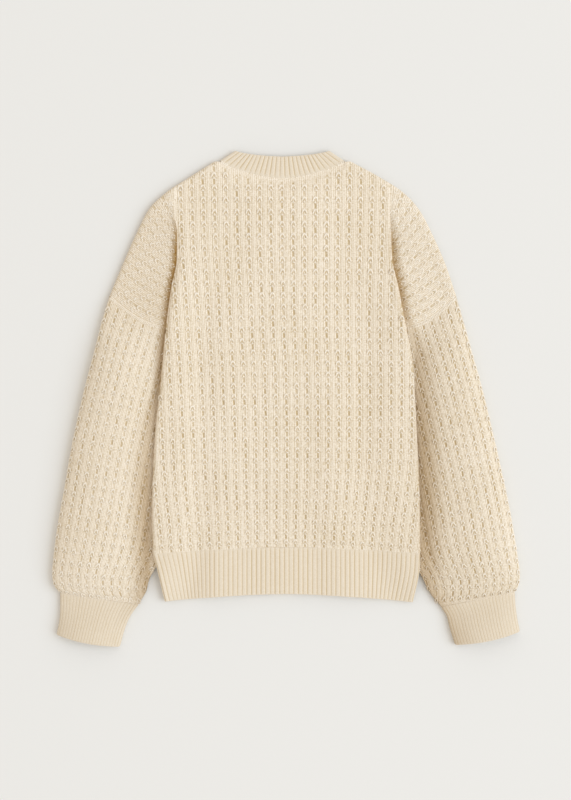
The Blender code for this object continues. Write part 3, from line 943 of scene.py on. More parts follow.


# %% [markdown]
# ## Wool
#
# The yarn is undyed cream wool. Close up it is rows of V-shaped stitches made of two plies, slightly hairy,
# darker and warmer where one thread lies in the shade of another: the material paints that shade in. Two
# node groups hold what all the woollen pieces share: `Wool colour` mixes the cream with painted shade from
# the relief's hollows and from beside the body, and with a soft mottle, and `Plain stitches` draws the
# threads that are too fine to model as a height for a Bump node.

# %% The shared colour of the wool, with its painted shade
WOOL_COLOUR, start, end = new_tree(
    "Wool colour",
    "ShaderNodeTree",
    {
        "Light": (0.80, 0.70, 0.55, 1),
        "Deep": (0.62, 0.47, 0.29, 1),
        "Crease": (0.44, 0.285, 0.09, 1),
        "Hollow": 0.0,
        "Shaded": 0.0,
        "Mottle": 1.0,
    },
    {"Color": "NodeSocketColor"},
)
hollow, shaded, mottle = inputs_of(start, "Hollow", "Shaded", "Mottle")
clouds = noise(WOOL_COLOUR, 14) - 0.5
flecks = noise(WOOL_COLOUR, 520, 1) - 0.5
# Painted shade in the hollows mixes the cream towards the deep colour. The clouds and flecks are random
# mottle.
deepened = hollow * 0.75 + (clouds * 0.25 + flecks * 1.15) * mottle + 0.16


def mixed(tree, share, first, second, blend="MIX"):
    """Two colours mixed, as a socket."""
    mix = add_node(tree, "ShaderNodeMix", data_type="RGBA", blend_type=blend)
    for name, value in (("Factor", share), ("A", first), ("B", second)):
        give(mix.inputs[name], value)
    return mix.outputs["Result"]


colour = mixed(WOOL_COLOUR, deepened, start.outputs["Light"], start.outputs["Deep"])
# Painted shade beside the body: the colour is multiplied by the crease's shade colour, as far as a point is
# shaded.
give(end.inputs["Color"], mixed(WOOL_COLOUR, shaded, colour, start.outputs["Crease"], "MULTIPLY"))
print("wool colour:", len(WOOL_COLOUR.nodes), "nodes")

# %% The shared height of plain stitches and fibres
PLAIN_STITCHES, start, end = new_tree(
    "Plain stitches",
    "ShaderNodeTree",
    {"Wale": 0.0, "Course": 0.0, "Slant": 0.9, "Fibres": 0.35},
    {"Height": "NodeSocketFloat", "Gap": "NodeSocketFloat"},
)
wale, course, slant, fibres = inputs_of(start, "Wale", "Course", "Slant", "Fibres")
sideways = abs(wale.from_whole()) * 2
leg = (course - sideways * slant).from_whole()
gap = sideways.ramp(0.55, 1.0)
thread = (1 - (abs(leg) * 2).power(2)) * (1 - gap) * (1 - (1 - sideways).ramp(0.8, 1.0) * 0.5)
give(end.inputs["Gap"], gap)
give(end.inputs["Height"], thread + noise(PLAIN_STITCHES, 900) * fibres)
print("plain stitches:", len(PLAIN_STITCHES.nodes), "nodes")

# %% The tuck stitch as a shader group, from the same shapes
TUCK_STITCH, start, end = new_tree(
    "Tuck stitch",
    "ShaderNodeTree",
    {"Column": 0.0, "Row": 0.0, "Loose": 0.5, "Strength": 1.0},
    {"Hollow": "NodeSocketFloat", "Height": "NodeSocketFloat"},
)
column, row, loose, strength = inputs_of(start, "Column", "Row", "Loose", "Strength")
shapes = tuck(column, row, loose)
# Hollow is painted shade: in the slot, in the chevron of shadow under the loop, and in the side grooves.
hollow = shapes.slot * 0.92 + shapes.chevron * 0.9 + shapes.groove * 0.8
height = shapes.flank * 0.5 - shapes.slot - shapes.chevron - shapes.groove * 0.8
give(end.inputs["Hollow"], hollow * strength)
give(end.inputs["Height"], height * strength)
print("tuck stitch:", len(TUCK_STITCH.nodes), "nodes")


# %% What the woollen materials are made of
WOOL_SURFACE = {
    "Roughness": 0.92,
    "Specular IOR Level": 0.15,
    "Sheen Weight": 0.2,
    "Sheen Roughness": 0.55,
    "Sheen Tint": (1, 0.90, 0.76, 1),
}


def new_material(name, surface):
    """A material, its tree and its shader, with a surface's values on the shader's own sockets."""
    paint = bpy.data.materials.new(name)
    paint.use_nodes = True
    shader = paint.node_tree.nodes["Principled BSDF"]
    for label, value in surface.items():
        give(shader.inputs[label], value)
    return paint, paint.node_tree, shader


def field(tree, name):
    """An attribute of the cloth, as a Number in a shader tree."""
    return Number(add_node(tree, "ShaderNodeAttribute", attribute_name=name).outputs["Fac"])


def group(tree, shared, **inputs):
    """A shared group in a tree, with some of its inputs given."""
    values = {name.capitalize(): value for name, value in inputs.items()}
    return add_node(tree, "ShaderNodeGroup", values, node_tree=shared)


def bumped(tree, height, distance, before=None):
    """A Bump node's normal, on top of another one if given."""
    bump = add_node(tree, "ShaderNodeBump", {"Height": height, "Distance": distance})
    if before:
        give(bump.inputs["Normal"], before)
    return bump.outputs["Normal"]


def coloured(tree, shader, light, **inputs):
    """Gives a shader the wool's colour, with painted shade in its hollows and where it is shaded beside the
    body.
    """
    colour = group(tree, WOOL_COLOUR, light=(*light, 1), deep=(*DEEP_CREAM, 1), **inputs)
    give(shader.inputs["Base Color"], colour.outputs["Color"])


# %% The knit and the ribbing
CREAM = (1.0, 0.92, 0.80)
RIB_CREAM = (0.84, 0.757, 0.63)
LOOP_CREAM = (0.97, 0.905, 0.795)
# DEEP_CREAM is what the painted shade of hollows, gaps and the loops' undersides mixes the wool towards.
DEEP_CREAM = (0.645, 0.51, 0.305)
THREAD_BUMP = 0.0002
MOTIF_BUMP = 0.00012
CREASE_GAP = 0.22  # painted shade of the stitches' gaps on average, for the bare wool along a crease


def wool(name, light, wale, course, hollow_of, gaps, mottle):
    """Wool whose stitches follow the cloth's own attributes. hollow_of gives the painted shade of the
    hollows, and a height.
    """
    paint, tree, shader = new_material(name, WOOL_SURFACE)
    hollow, height = hollow_of(tree)
    stitches = group(tree, PLAIN_STITCHES, wale=wale(tree), course=course(tree))
    bare = field(tree, "bare")
    threads = Number(stitches.outputs["Height"]) * (1 - bare)
    gap = Number(stitches.outputs["Gap"]) * (1 - bare) + bare * CREASE_GAP
    shaded = field(tree, "shaded")
    # Painted shade: hollows and gaps between stitches are darker, more so where shade is painted beside the
    # body, and so are the places between threads.
    deep = (hollow + gap * gaps) * (1 + shaded * 1.2) + (1 - threads) * 0.15 * mottle
    coloured(tree, shader, light, hollow=deep, shaded=shaded, mottle=mottle)
    normal = bumped(tree, height, MOTIF_BUMP) if height else None
    give(shader.inputs["Normal"], bumped(tree, threads, THREAD_BUMP, normal))
    return paint


def knit_hollows(tree):
    """How much shade is painted into the tuck stitch at a point, and its height for a bump."""
    names = ("column", "row", "loose", "strength")
    node = group(tree, TUCK_STITCH, **{name: field(tree, name) for name in names})
    return Number(node.outputs["Hollow"]), Number(node.outputs["Height"])


def rib_hollows(tree):
    """How much shade is painted into the ribbing at a point. It needs no bump of its own."""
    return field(tree, "hollow"), None


KNIT_WOOL = wool(
    "wool knit",
    CREAM,
    wale=lambda tree: field(tree, "column") * 6,
    course=lambda tree: field(tree, "row") * 6,
    hollow_of=knit_hollows,
    gaps=0.8,
    mottle=1.0,
)
RIB_WOOL = wool(
    "wool rib",
    RIB_CREAM,
    wale=lambda tree: field(tree, "rib"),
    course=lambda tree: field(tree, "stitch"),
    hollow_of=rib_hollows,
    gaps=0.0,
    mottle=0.45,
)


# %% The loops' yarn, with its plies wound round it
PLY_BUMP = 0.0001


def yarn(name):
    """A strand of yarn. Its UV map runs along it in U and round it in V, so shade can be painted on its
    underside.
    """
    paint, tree, shader = new_material(name, WOOL_SURFACE)
    place = add_node(tree, "ShaderNodeUVMap", uv_map="UVMap")
    split = add_node(tree, "ShaderNodeSeparateXYZ", {"Vector": place.outputs["UV"]})
    along, around = Number(split.outputs["X"]), Number(split.outputs["Y"])
    upward = (around * tau).wave()
    # Painted shade: the strand is darker towards its underside.
    deep = 0.85 - upward.ramp(-0.8, 0.6) * 0.95
    coloured(tree, shader, LOOP_CREAM, hollow=deep, shaded=field(tree, "shaded"))
    plies = ((along * 4 + around * 2) * tau).wave()
    give(shader.inputs["Normal"], bumped(tree, plies, PLY_BUMP))
    return paint


YARN = yarn("wool yarn")
print("materials:", [paint.name for paint in bpy.data.materials])

# %% [markdown]
# ## The back
#
# The back is one panel: the body between its folds, and a dropped shoulder at each side, on which the columns
# fan out towards the armhole.

# %% Points of the stitch grid that fall inside a panel
# The points across a motif are closest where its relief is steep: the slot, its flanks and the side grooves.
ROWS = 9  # points up a motif
FRONT_ROWS = 7
FINE = np.array([0, 1.3, 2.8, 4.2, 5.0, 7.15, 9.3, 10.1, 11.5, 13.0]) / MOTIF
COARSE = np.array([0, 1.4, 2.8, 4.2, 5.2, 9.1, 10.1, 11.5, 12.9]) / MOTIF


def between(first, last, fractions):
    """The fractions of every motif from the first to the last."""
    return np.append((np.arange(first, last)[:, None] + fractions).ravel(), last)


def grid(columns, rows, fractions, per_row):
    """Column and row numbers at every point of a fine grid."""
    row = np.arange(rows[0] * per_row, rows[1] * per_row + 1) / per_row
    return [values.ravel() for values in np.meshgrid(between(*columns, fractions), row)]


BODY_STRENGTH = 0.86  # how much of the tree's full relief the body takes
PLAIN_BELOW_NECK = 4  # depth of the plain rows that follow the neckband, and of the relief's start there


def below_neck(x, y, top_at):
    """How far a place is below the neckband, less the few plain rows that follow it."""
    return np.where(np.abs(x - MIDDLE) < NECK_HALF + 6, top_at(x) - y - PLAIN_BELOW_NECK, FAR)


def inside_edges(inside, x, sides, from_x, to_x):
    """How far a place is inside a panel, when one of the panel's sides may be a straight edge."""
    return inside if len(sides) == 2 else np.minimum(inside, np.minimum(x - from_x, to_x - x))


def panel_points(sides, from_x, to_x, top_at, fractions, per_row, margin):
    """Places on a panel's body and dropped shoulders, as rows of x, y, column, row, how far inside they are
    and how deep the relief is."""
    column, row = grid((-14, 14), (-2, 36), fractions, per_row)
    x, y, inside = body_place(column, row, top_at)
    inside = inside_edges(inside, x, sides, from_x, to_x)
    beside_crease = (y > UNDERARM) & (inside_of_side(x, y) < CREASE_INSETS[-1] + 0.5)
    kept = (inside > margin) & ~beside_crease
    depth = BODY_STRENGTH * ease(below_neck(x, y, top_at) / PLAIN_BELOW_NECK)
    found = [np.column_stack([x, y, column, row, inside, depth])[kept]]
    for side in sides:
        column, row = grid((0, WING_COLUMNS), (0, 7), fractions, per_row)
        x, y, inside = wing_place(side, column, row, top_at)
        kept = (inside > margin) & (inside_of_side(x, y) < CREASE_INSETS[0] - 0.4)
        depth = np.full(len(x), WING_STRENGTH[side])
        found.append(np.column_stack([x, y, column, TURNED - row, inside, depth])[kept])
    return np.concatenate(found)


def crease_line(side, top_at, inset, step):
    """A line beside the crease over a shoulder, ending just short of the panel's border at both ends."""
    top = float(top_at(float(side_x(side, CREASE_TOP))))
    y = np.linspace(UNDERARM + 1.2, top - 1.2, 200)
    x = side_x(side, y) + (inset if side == "left" else -inset)
    return evenly(np.column_stack([x, y]), step)


# Lines beside each crease, by how far they are inside it. The shoulder's stitches end at the first line and
# the body's begin at the second, where its edge rises over the shoulder. Up to the fourth it is rounded.
CREASE_INSETS = (-0.5, 0, 0.4, 1.2)
BARE_UP_TO = 0.1  # the first two are bare of stitches, because the numbers of two grids meet between them


def nearest_on_grid(lines, inner):
    """For each point of the lines, the number of the nearest grid point on the same side of the crease."""
    on_body, in_body = (inside_of_side(*flat[:, :2].T) > -0.3 for flat in (lines, inner))
    nearest = []
    for point, body in zip(lines, on_body):
        apart = np.hypot(*(inner[:, :2] - point).T) + 999 * (in_body != body)
        nearest.append(int(np.argmin(apart)))
    return nearest


def panel(name, sides, from_x, to_x, top_at, faces_at, fractions, per_row):
    """A closed shell for a back or a front, with the stitch grid on its outer face."""
    step = MOTIF / len(fractions)
    border = panel_border(sides, from_x, to_x, top_at, step)
    insets = [inset for side in sides for inset in CREASE_INSETS]
    creases = [crease_line(side, top_at, inset, step) for side in sides for inset in CREASE_INSETS]
    lines = np.concatenate([border, *creases])

    # The two faces, and the rim between them.
    inner = panel_points(sides, from_x, to_x, top_at, fractions, per_row, margin=0.4)
    outer_faces, added = triangulated(border, creases, inner[:, :2])
    plain = panel_points(sides, from_x, to_x, top_at, [0], 1, margin=4)
    hidden_faces, hidden_added = triangulated(border, [], plain[:, :2])
    print(name, "points added by the triangulation:", added, hidden_added)
    outer_xy = np.concatenate([lines, inner[:, :2]])
    hidden_xy = np.concatenate([border, plain[:, :2]])
    outer = np.column_stack([outer_xy, faces_at(*outer_xy.T)[0]])
    hidden = np.column_stack([hidden_xy, faces_at(*hidden_xy.T)[1]])
    count, around = len(outer), len(border)
    rim = [(i, (i + 1) % around, count + (i + 1) % around, count + i) for i in range(around)]
    faces = outer_faces + [tuple(i + count for i in face[::-1]) for face in hidden_faces] + rim

    # The lines take their numbers from the grid beside them. The border and the hidden face have no relief.
    nearest = nearest_on_grid(lines, inner)
    full = ease(inner[:, 4] / 1.5) * inner[:, 5]
    on_lines = full[nearest] * ease((lines[:, 1] - CREASE_TOP + 20) / 20)
    on_lines[:around] = 0
    bare = [np.full(len(line), inset < BARE_UP_TO) for line, inset in zip(creases, insets)]
    rest = np.zeros(len(hidden))
    return add_piece(
        name,
        np.concatenate([outer, hidden]),
        faces,
        column=np.concatenate([inner[nearest, 2], inner[:, 2], rest]),
        row=np.concatenate([inner[nearest, 3], inner[:, 3], rest]),
        strength=np.concatenate([on_lines, full, rest]),
        bare=np.concatenate([np.zeros(around), *bare, np.zeros(len(inner)), rest]),
    )


# %% The back panel
BACK_FORM = (BOTH, LEFT_X, RIGHT_X, back_top_y, back_faces)
back = panel("back_knit", *BACK_FORM, FINE, ROWS)
run_tree(back, KNIT_RELIEF, material=KNIT_WOOL)
print(back.name, len(back.data.polygons), "faces")

# %% [markdown]
# ## The loops
#
# A loop is one strand that comes up on either side of the column and crosses over it in an arch, with a small
# bead of purl stitch under its middle. The strand is a five-sided tube along a few listed points, which
# is enough at this size, because about fifteen hundred of them show. As many more lie on the faces that are
# turned to the table. Those have four sides and no bead.


# %% A strand of yarn along a path
PLY_LENGTH = 14.0  # how far along the yarn the UV map's U grows by 1
THIN_END = 0.75  # how thick a strand is at its ends, as a share of its middle


def unit(vectors):
    """Vectors of the same directions, of length 1."""
    return vectors / np.maximum(np.linalg.norm(vectors, axis=1), 1e-9)[:, None]


def strand(name, path, radius, around):
    """A closed tube with a UV map, whose V goes from 0 to 1 round it."""
    path = np.array(path, float)
    reached = np.append(0, np.cumsum(np.linalg.norm(np.diff(path, axis=0), axis=1))) / PLY_LENGTH
    along = unit(np.gradient(path, axis=0))
    side = unit(np.cross(along, (0.0, 0.0, 1.0)))
    over = np.cross(side, along)
    share = np.linspace(-1, 1, len(path))
    thick = radius * (1 - (1 - THIN_END) * share**4)
    shape = bmesh.new()
    uv = shape.loops.layers.uv.new("UVMap")
    angles = [tau * k / around for k in range(around)]
    rings = []
    for point, right, up, size in zip(path, side, over, thick):
        rings.append([shape.verts.new((point + size * (right * cos(a) + up * sin(a))) * MM) for a in angles])
    for i, (first, second) in enumerate(zip(rings, rings[1:])):
        for k in range(around):
            n = (k + 1) % around
            face = shape.faces.new((first[k], first[n], second[n], second[k]))
            face.smooth = True
            for corner, (u, v) in zip(face.loops, ((i, k), (i, k + 1), (i + 1, k + 1), (i + 1, k))):
                corner[uv].uv = (reached[u], v / around)
    shape.faces.new(rings[0][::-1])
    shape.faces.new(rings[-1])
    bmesh.ops.recalc_face_normals(shape, faces=shape.faces)
    return from_bmesh(name, shape)


def joined(name, pieces):
    """Several small meshes as one."""
    shape = bmesh.new()
    for piece in pieces:
        shape.from_mesh(piece.data)
        bpy.data.objects.remove(piece)
    return from_bmesh(name, shape)


# %% The shape of one loop, for a motif of the usual width
LOOP_PATH = [(-3.0, -4.8, -1.0), (-2.7, -3.2, -0.1), (-2.1, -1.5, 0.3), (-1.2, -0.3, 0.3), (0, 0.1, 0.1)]
LOOP_PATH += [(-x, y, z) for x, y, z in LOOP_PATH[-2::-1]]
BEAD_PATH = [(-1.0, -5.9, -0.5), (-0.4, -5.5, 0.35), (0.4, -5.5, 0.35), (1.0, -5.9, -0.5)]
ARCH = strand("arch", LOOP_PATH, radius=1.05, around=5)
BEAD = strand("bead", BEAD_PATH, radius=0.9, around=5)
LOOP = joined("loop", [ARCH, BEAD])
PLAIN_LOOP = strand("plain loop", LOOP_PATH[::2], radius=1.0, around=4)
print("a loop has", len(LOOP.data.polygons), "faces, a plain one", len(PLAIN_LOOP.data.polygons))


# %% Points for the loops
LOOP_AT = 1.11  # how far up its motif a loop's top is


def stitch_points(name, points, across, along, facing_up, wide=1.0, long=1.0, high=1.0):
    """A point for each stitch, with the directions and size that it takes."""
    facing = unit(np.cross(across, along))
    facing *= np.where(facing[:, 2:] * facing_up < 0, -1, 1)
    size = np.column_stack([0 * points[:, 0] + value for value in (wide, long, high)])
    return add_piece(name, points, [], facing=facing, along=unit(along), size=size)


def motif_points(place, columns, rows, margin, loop_at=LOOP_AT):
    """Points, sideways and upward directions at the loops' tops. place gives 3-D points and how far in."""
    column, row = np.meshgrid(np.arange(*columns), np.arange(*rows) + loop_at)
    column, row = column.ravel() + 1e-4, row.ravel()  # never exactly on a fold
    points, inside = place(column, row)
    kept = inside > margin
    column, row, points = column[kept], row[kept], points[kept]
    across = (place(column + 0.1, row)[0] - place(column - 0.1, row)[0]) / 0.2
    along = (place(column, row + 0.05)[0] - place(column, row - 0.15)[0]) / 0.2
    return points, across, along


def on_panel(flat_place, faces_at):
    """A place function that gives 3-D points on a panel's outer face."""

    def place(column, row):
        x, y, inside = flat_place(column, row)
        return np.column_stack([x, y, faces_at(x, y)[0]]), inside

    return place


def loops(name, groups, shape, facing_up, seed):
    """The loops on one side of a piece, from groups of points, directions and how proud they stand."""
    high = np.concatenate([np.full(len(points), height) for points, _, _, height in groups])
    points, across, along = (np.concatenate(values) for values in list(zip(*groups))[:3])
    wide, long = (np.clip(np.linalg.norm(way, axis=1) / MOTIF, 0.6, 1.2) for way in (across, along))
    piece = stitch_points(name, points, across, along, facing_up, wide, long, high)
    run_tree(piece, SET_STITCHES, stitch=shape, seed=seed, material=YARN)
    print(name, len(points), "loops,", len(piece.data.polygons), "faces")
    return piece


# %% The loops on the back
BODY_LOOP = 0.9  # how proud the loops stand
WING_LOOPS = ((0, 0.85), (0.5, 0.35))  # on a dropped shoulder, a flatter loop lies between every four


def panel_loops(name, sides, from_x, to_x, top_at, faces_at, shape, facing_up, seed):
    """The loops on a panel's outer face: one in each motif of the body, and the dropped shoulders' own."""

    def on_body(column, row):
        x, y, inside = body_place(column, row, top_at)
        inside = np.minimum(inside, below_neck(x, y, top_at))
        return x, y, inside_edges(inside, x, sides, from_x, to_x)

    groups = [(*motif_points(on_panel(on_body, faces_at), (-13, 14), (-1, 34), 2), BODY_LOOP)]
    for side in sides:

        def on_wing(column, row, side=side):
            return wing_place(side, column, row, top_at)

        place = on_panel(on_wing, faces_at)
        for shift, height in WING_LOOPS:
            columns, rows = (1 - shift, WING_COLUMNS), (-shift, 7)
            points, across, along = motif_points(place, columns, rows, 2, TURNED - LOOP_AT)
            groups.append((points, across, -along, height))
    return loops(name, groups, shape, facing_up, seed)


back_loops = panel_loops("back_loops", *BACK_FORM, LOOP, facing_up=1, seed=21)

# %% [markdown]
# ## The fronts
#
# The fronts lie face down under the back. Their outer faces carry the same grid, a little coarser because
# they are seen only when the cardigan is turned over.

# %% The two fronts
FRONT_EDGE = BAND_HALF + SEAM
FRONTS = {
    "left": (LEFT_X, MIDDLE - FRONT_EDGE),
    "right": (MIDDLE + FRONT_EDGE, RIGHT_X),
}
FLOOR_CLEARANCE = 1.1  # what the relief may stand proud of a face that lies on the table


def front_outer(x, y):
    """The front's faces, its outer one held off the table by the height of its relief."""
    outer, hidden = front_faces(x, y)
    return np.maximum(outer, FLOOR_CLEARANCE * quarter(edge_distance(x, y) / FOLD)), hidden


fronts, front_loops = {}, {}
for side, (from_x, to_x) in FRONTS.items():
    form = ((side,), from_x, to_x, front_top_y, front_outer)
    fronts[side] = panel(f"front_knit_{side}", *form, COARSE, FRONT_ROWS)
    run_tree(fronts[side], KNIT_RELIEF, material=KNIT_WOOL, seed=31)
    front_loops[side] = panel_loops(f"front_loops_{side}", *form, PLAIN_LOOP, facing_up=-1, seed=41)
    print(fronts[side].name, len(fronts[side].data.polygons), "faces")

# %% [markdown]
# ## Tubes: the sleeves and cuffs
#
# A sleeve is a flattened tube. Its grid starts at the outer fold, where `column` is 0: positive columns go
# over the top and negative ones under the sleeve. Both meet again at the inner fold, which is the sleeve's
# seam, so columns that reach it simply end there, as they do on the real sleeve. A tube's inner skin is never
# seen, so it has all the points round but few along.


# %% A closed tube from rings of points
def ring_faces(first, second):
    """Faces between two rings of point numbers. Where a ring repeats a number, its face has fewer corners."""
    faces = []
    for quad in zip(first, np.roll(first, -1), np.roll(second, -1), second):
        face = [int(i) for i, before in zip(quad, (quad[3], *quad[:3])) if i != before]
        if len(set(face)) > 2:
            faces.append(tuple(dict.fromkeys(face)))
    return faces


INNER_STEP = 12  # how many of the outer skin's rings there are for each of the inner skin's


def tube(name, outer, inner, ended, **values):
    """A tube with an outer and an inner skin, given as (row, around, 3) points. Where ended is true, a ring's
    points all become the one on the inner fold."""
    rows, around = outer.shape[:2]
    first_ended = np.argmax(ended, axis=1)
    ids = np.arange(rows * around).reshape(rows, around)
    ids = np.where(ended, ids[np.arange(rows), first_ended][:, None], ids)
    picked = np.unique(np.append(np.arange(0, rows, INNER_STEP), rows - 1))
    inner_ids = ids + rows * around
    faces = [face for i in range(rows - 1) for face in ring_faces(ids[i], ids[i + 1])]
    for i, j in zip(picked, picked[1:]):
        faces += ring_faces(inner_ids[j], inner_ids[i])
    faces += ring_faces(inner_ids[0], ids[0]) + ring_faces(ids[-1], inner_ids[-1])
    points = np.concatenate([outer.reshape(-1, 3), inner.reshape(-1, 3)])
    values = {key: np.append(value.ravel(), 0 * value.ravel()) for key, value in values.items()}
    return add_piece(name, points, faces, **values)


# %% Where things are on a flattened tube
PUFF = 4.4  # how much fuller the tubes are than the flattened ones of the CAD model


def table_lines(rows, count):
    """A table's rows and many more between them, on smooth curves."""
    at = np.linspace(0, len(rows) - 1, count)
    return np.column_stack([through(list(enumerate(column)), at) for column in np.array(rows, float).T])


def tube_lines(rows):
    """A table's lines across a tube, many more of them, and the length reached at each."""
    lines = table_lines(rows, 40 * (len(rows) - 1) + 1)
    middle = (lines[:, :2] + lines[:, 2:4]) / 2
    return lines, np.append(0, np.cumsum(np.hypot(*np.diff(middle, axis=0).T)))


def across_tube(lines, reached, length, share):
    """The flat place a share of the way across a tube, from its outer fold, and its width and air there."""
    outer_x, outer_y, inner_x, inner_y, bow, air = (np.interp(length, reached, line) for line in lines.T)
    x = outer_x + (inner_x - outer_x) * share
    y = outer_y + (inner_y - outer_y) * share - bow * 4 * share * (1 - share)
    return x, y, np.hypot(inner_x - outer_x, inner_y - outer_y), air


def puffed(air, share):
    """What the air in a tube adds to half its thickness. It is fullest nearer the outer fold."""
    return PUFF * air / 2 * np.sin(pi * np.clip(share / 0.82, 0, 1) ** 0.72) ** 0.8


# %% Where things are on a sleeve
SLEEVE_LINES = {side: tube_lines(rows) for side, rows in SLEEVE.items()}
SLEEVE_COLUMN = 12.8
SLEEVE_ROW = 14.3
SLEEVE_FOLD = 6.0
SLEEVE_WALL = PRESSED - 0.2
CUFF_THINNED = 0.8  # taken off half the sleeve's thickness where it meets the cuff
GATHER = 0.16  # how much closer together the columns are where they meet the cuff
SLEEVE_STRENGTH = {"left": 0.74, "right": 0.92}  # how much of the full relief a sleeve takes
SLEEVE_LOOPS = {"left": 0.45, "right": 0.75}  # how proud the loops stand, less where the sleeve is stretched


def sleeve_place(side, column, row, wall=0.0):
    """A place on a sleeve's outer skin, or on the inner one if it has a wall: points, how far inside, and
    whether the column has reached the inner fold and ended there."""
    lines, reached = SLEEVE_LINES[side]
    length = np.clip(row * SLEEVE_ROW, 0, reached[-1])
    width, air = across_tube(lines, reached, length, 0)[2:]
    pitch = SLEEVE_COLUMN * (1 - GATHER * ease((row - reached[-1] / SLEEVE_ROW + 6) / 6))
    spare = FOLD_SPARE * SLEEVE_FOLD
    cloth = width + 2 * spare
    along = np.minimum(np.abs(column) * pitch, cloth)
    if wall:
        inside = wall + (width - 2 * wall) * along / cloth
    else:
        near = around_fold(along, SLEEVE_FOLD)
        far = width - around_fold(cloth - along, SLEEVE_FOLD)
        inside = np.where(along < cloth / 2, near, far)
    share = inside / width
    x, y, _, _ = across_tube(lines, reached, length, share)

    # The cloth is pressed where the body lies on it, and thinner where it meets the cuff.
    pressing = ease((share - 0.4) / 0.38) * ease(row / 3)
    half = KNIT + SLIT / 2 - (KNIT - PRESSED) * pressing
    half = half - CUFF_THINNED * (1 - ease((reached[-1] - length) / 9)) * (1 - pressing)
    half = half + puffed(air, share)
    rounding = quarter(along / SLEEVE_FOLD / 1.3) * quarter((cloth - along) / SLEEVE_FOLD / 1.3)
    reach = (np.maximum(half - wall, SLIT / 2) if wall else half) * rounding
    z = np.where(column >= 0, half + reach, half - reach)
    z = np.where(column < 0, np.maximum(z, FLOOR_CLEARANCE * rounding), z)
    edges = np.minimum(length, reached[-1] - length)
    return np.stack([x, y, z], axis=-1), np.minimum(cloth - along, edges), along >= cloth - 0.3


def sleeve(side, per_row):
    """A sleeve's closed tube with the stitch grid."""
    total_length = SLEEVE_LINES[side][1][-1]
    over, under = (between(-1, 13, fractions) + 0.5 for fractions in (FINE, COARSE))
    over, under = np.append(0, over[(over > 0) & (over < 12)]), -under[(under > 0) & (under < 12)][::-1]
    total = total_length / SLEEVE_ROW
    rows = np.append(np.arange(0, int(total * per_row) + 1) / per_row, total)
    column, row = np.meshgrid(np.append(over, under), rows)
    outer, inside, ended = sleeve_place(side, column, row)
    inner = sleeve_place(side, column, row, SLEEVE_WALL)[0]
    plain = ease((total_length - row * SLEEVE_ROW - 1) / 5)
    strength = SLEEVE_STRENGTH[side] * ease(inside / 1.5) * plain
    values = {"column": column + 0.5, "row": TURNED - row, "strength": strength}
    return tube(f"sleeve_knit_{side}", outer, inner, ended, **values)


# %% The sleeves and their loops
SLEEVE_FACES = [("over", 1, (0.5, 12), LOOP), ("under", -1, (-11.5, 0), PLAIN_LOOP)]
sleeves, sleeve_loops = {}, {}
for side in BOTH:
    sleeves[side] = sleeve(side, ROWS)
    run_tree(sleeves[side], KNIT_RELIEF, material=KNIT_WOOL, seed=51)
    total = SLEEVE_LINES[side][1][-1] / SLEEVE_ROW

    def place(column, row, side=side, total=total):
        points, inside, _ = sleeve_place(side, column, row)
        return points, np.minimum(inside, (total - row) * SLEEVE_ROW - 3)

    for word, facing_up, columns, shape in SLEEVE_FACES:
        points, across, along = motif_points(place, columns, (1, int(total) + 1), 2, TURNED - LOOP_AT)
        group = [(points, across, -along, SLEEVE_LOOPS[side])]
        sleeve_loops[side, word] = loops(f"sleeve_loops_{word}_{side}", group, shape, facing_up, seed=61)
    print(sleeves[side].name, len(sleeves[side].data.polygons), "faces")

# %% [markdown]
# The cuffs are tubes too, ribbed along their length, with a soft rounded edge.

# %% The cuffs
CUFF_LINES = {side: tube_lines(rows) for side, rows in CUFF.items()}
CUFF_RIB = 4.5
CUFF_FOLD = 4.0
CUFF_PUFF = 5.0  # how much a cuff opens towards its free edge
CUFF_WALL = RIB - 0.2
HEM_CLEARANCE = 0.5  # what the ribs of a cuff or the hem may stand proud of a face that lies on the table
RIB_CLEARANCE = 0.45  # the same for the neckband and the front bands
PER_RIB = 8  # points across a rib
STITCH = 3.0  # height of a plain stitch along a rib
EDGE = 1.8  # how far from a free edge the ribbing starts to round over
TO_EDGE = EDGE * np.array([0.6, 0.25, 0.05, 0])  # the points where it does
RIB_SPARE = 0.57  # the same as FOLD_SPARE, rounded, for ribbing


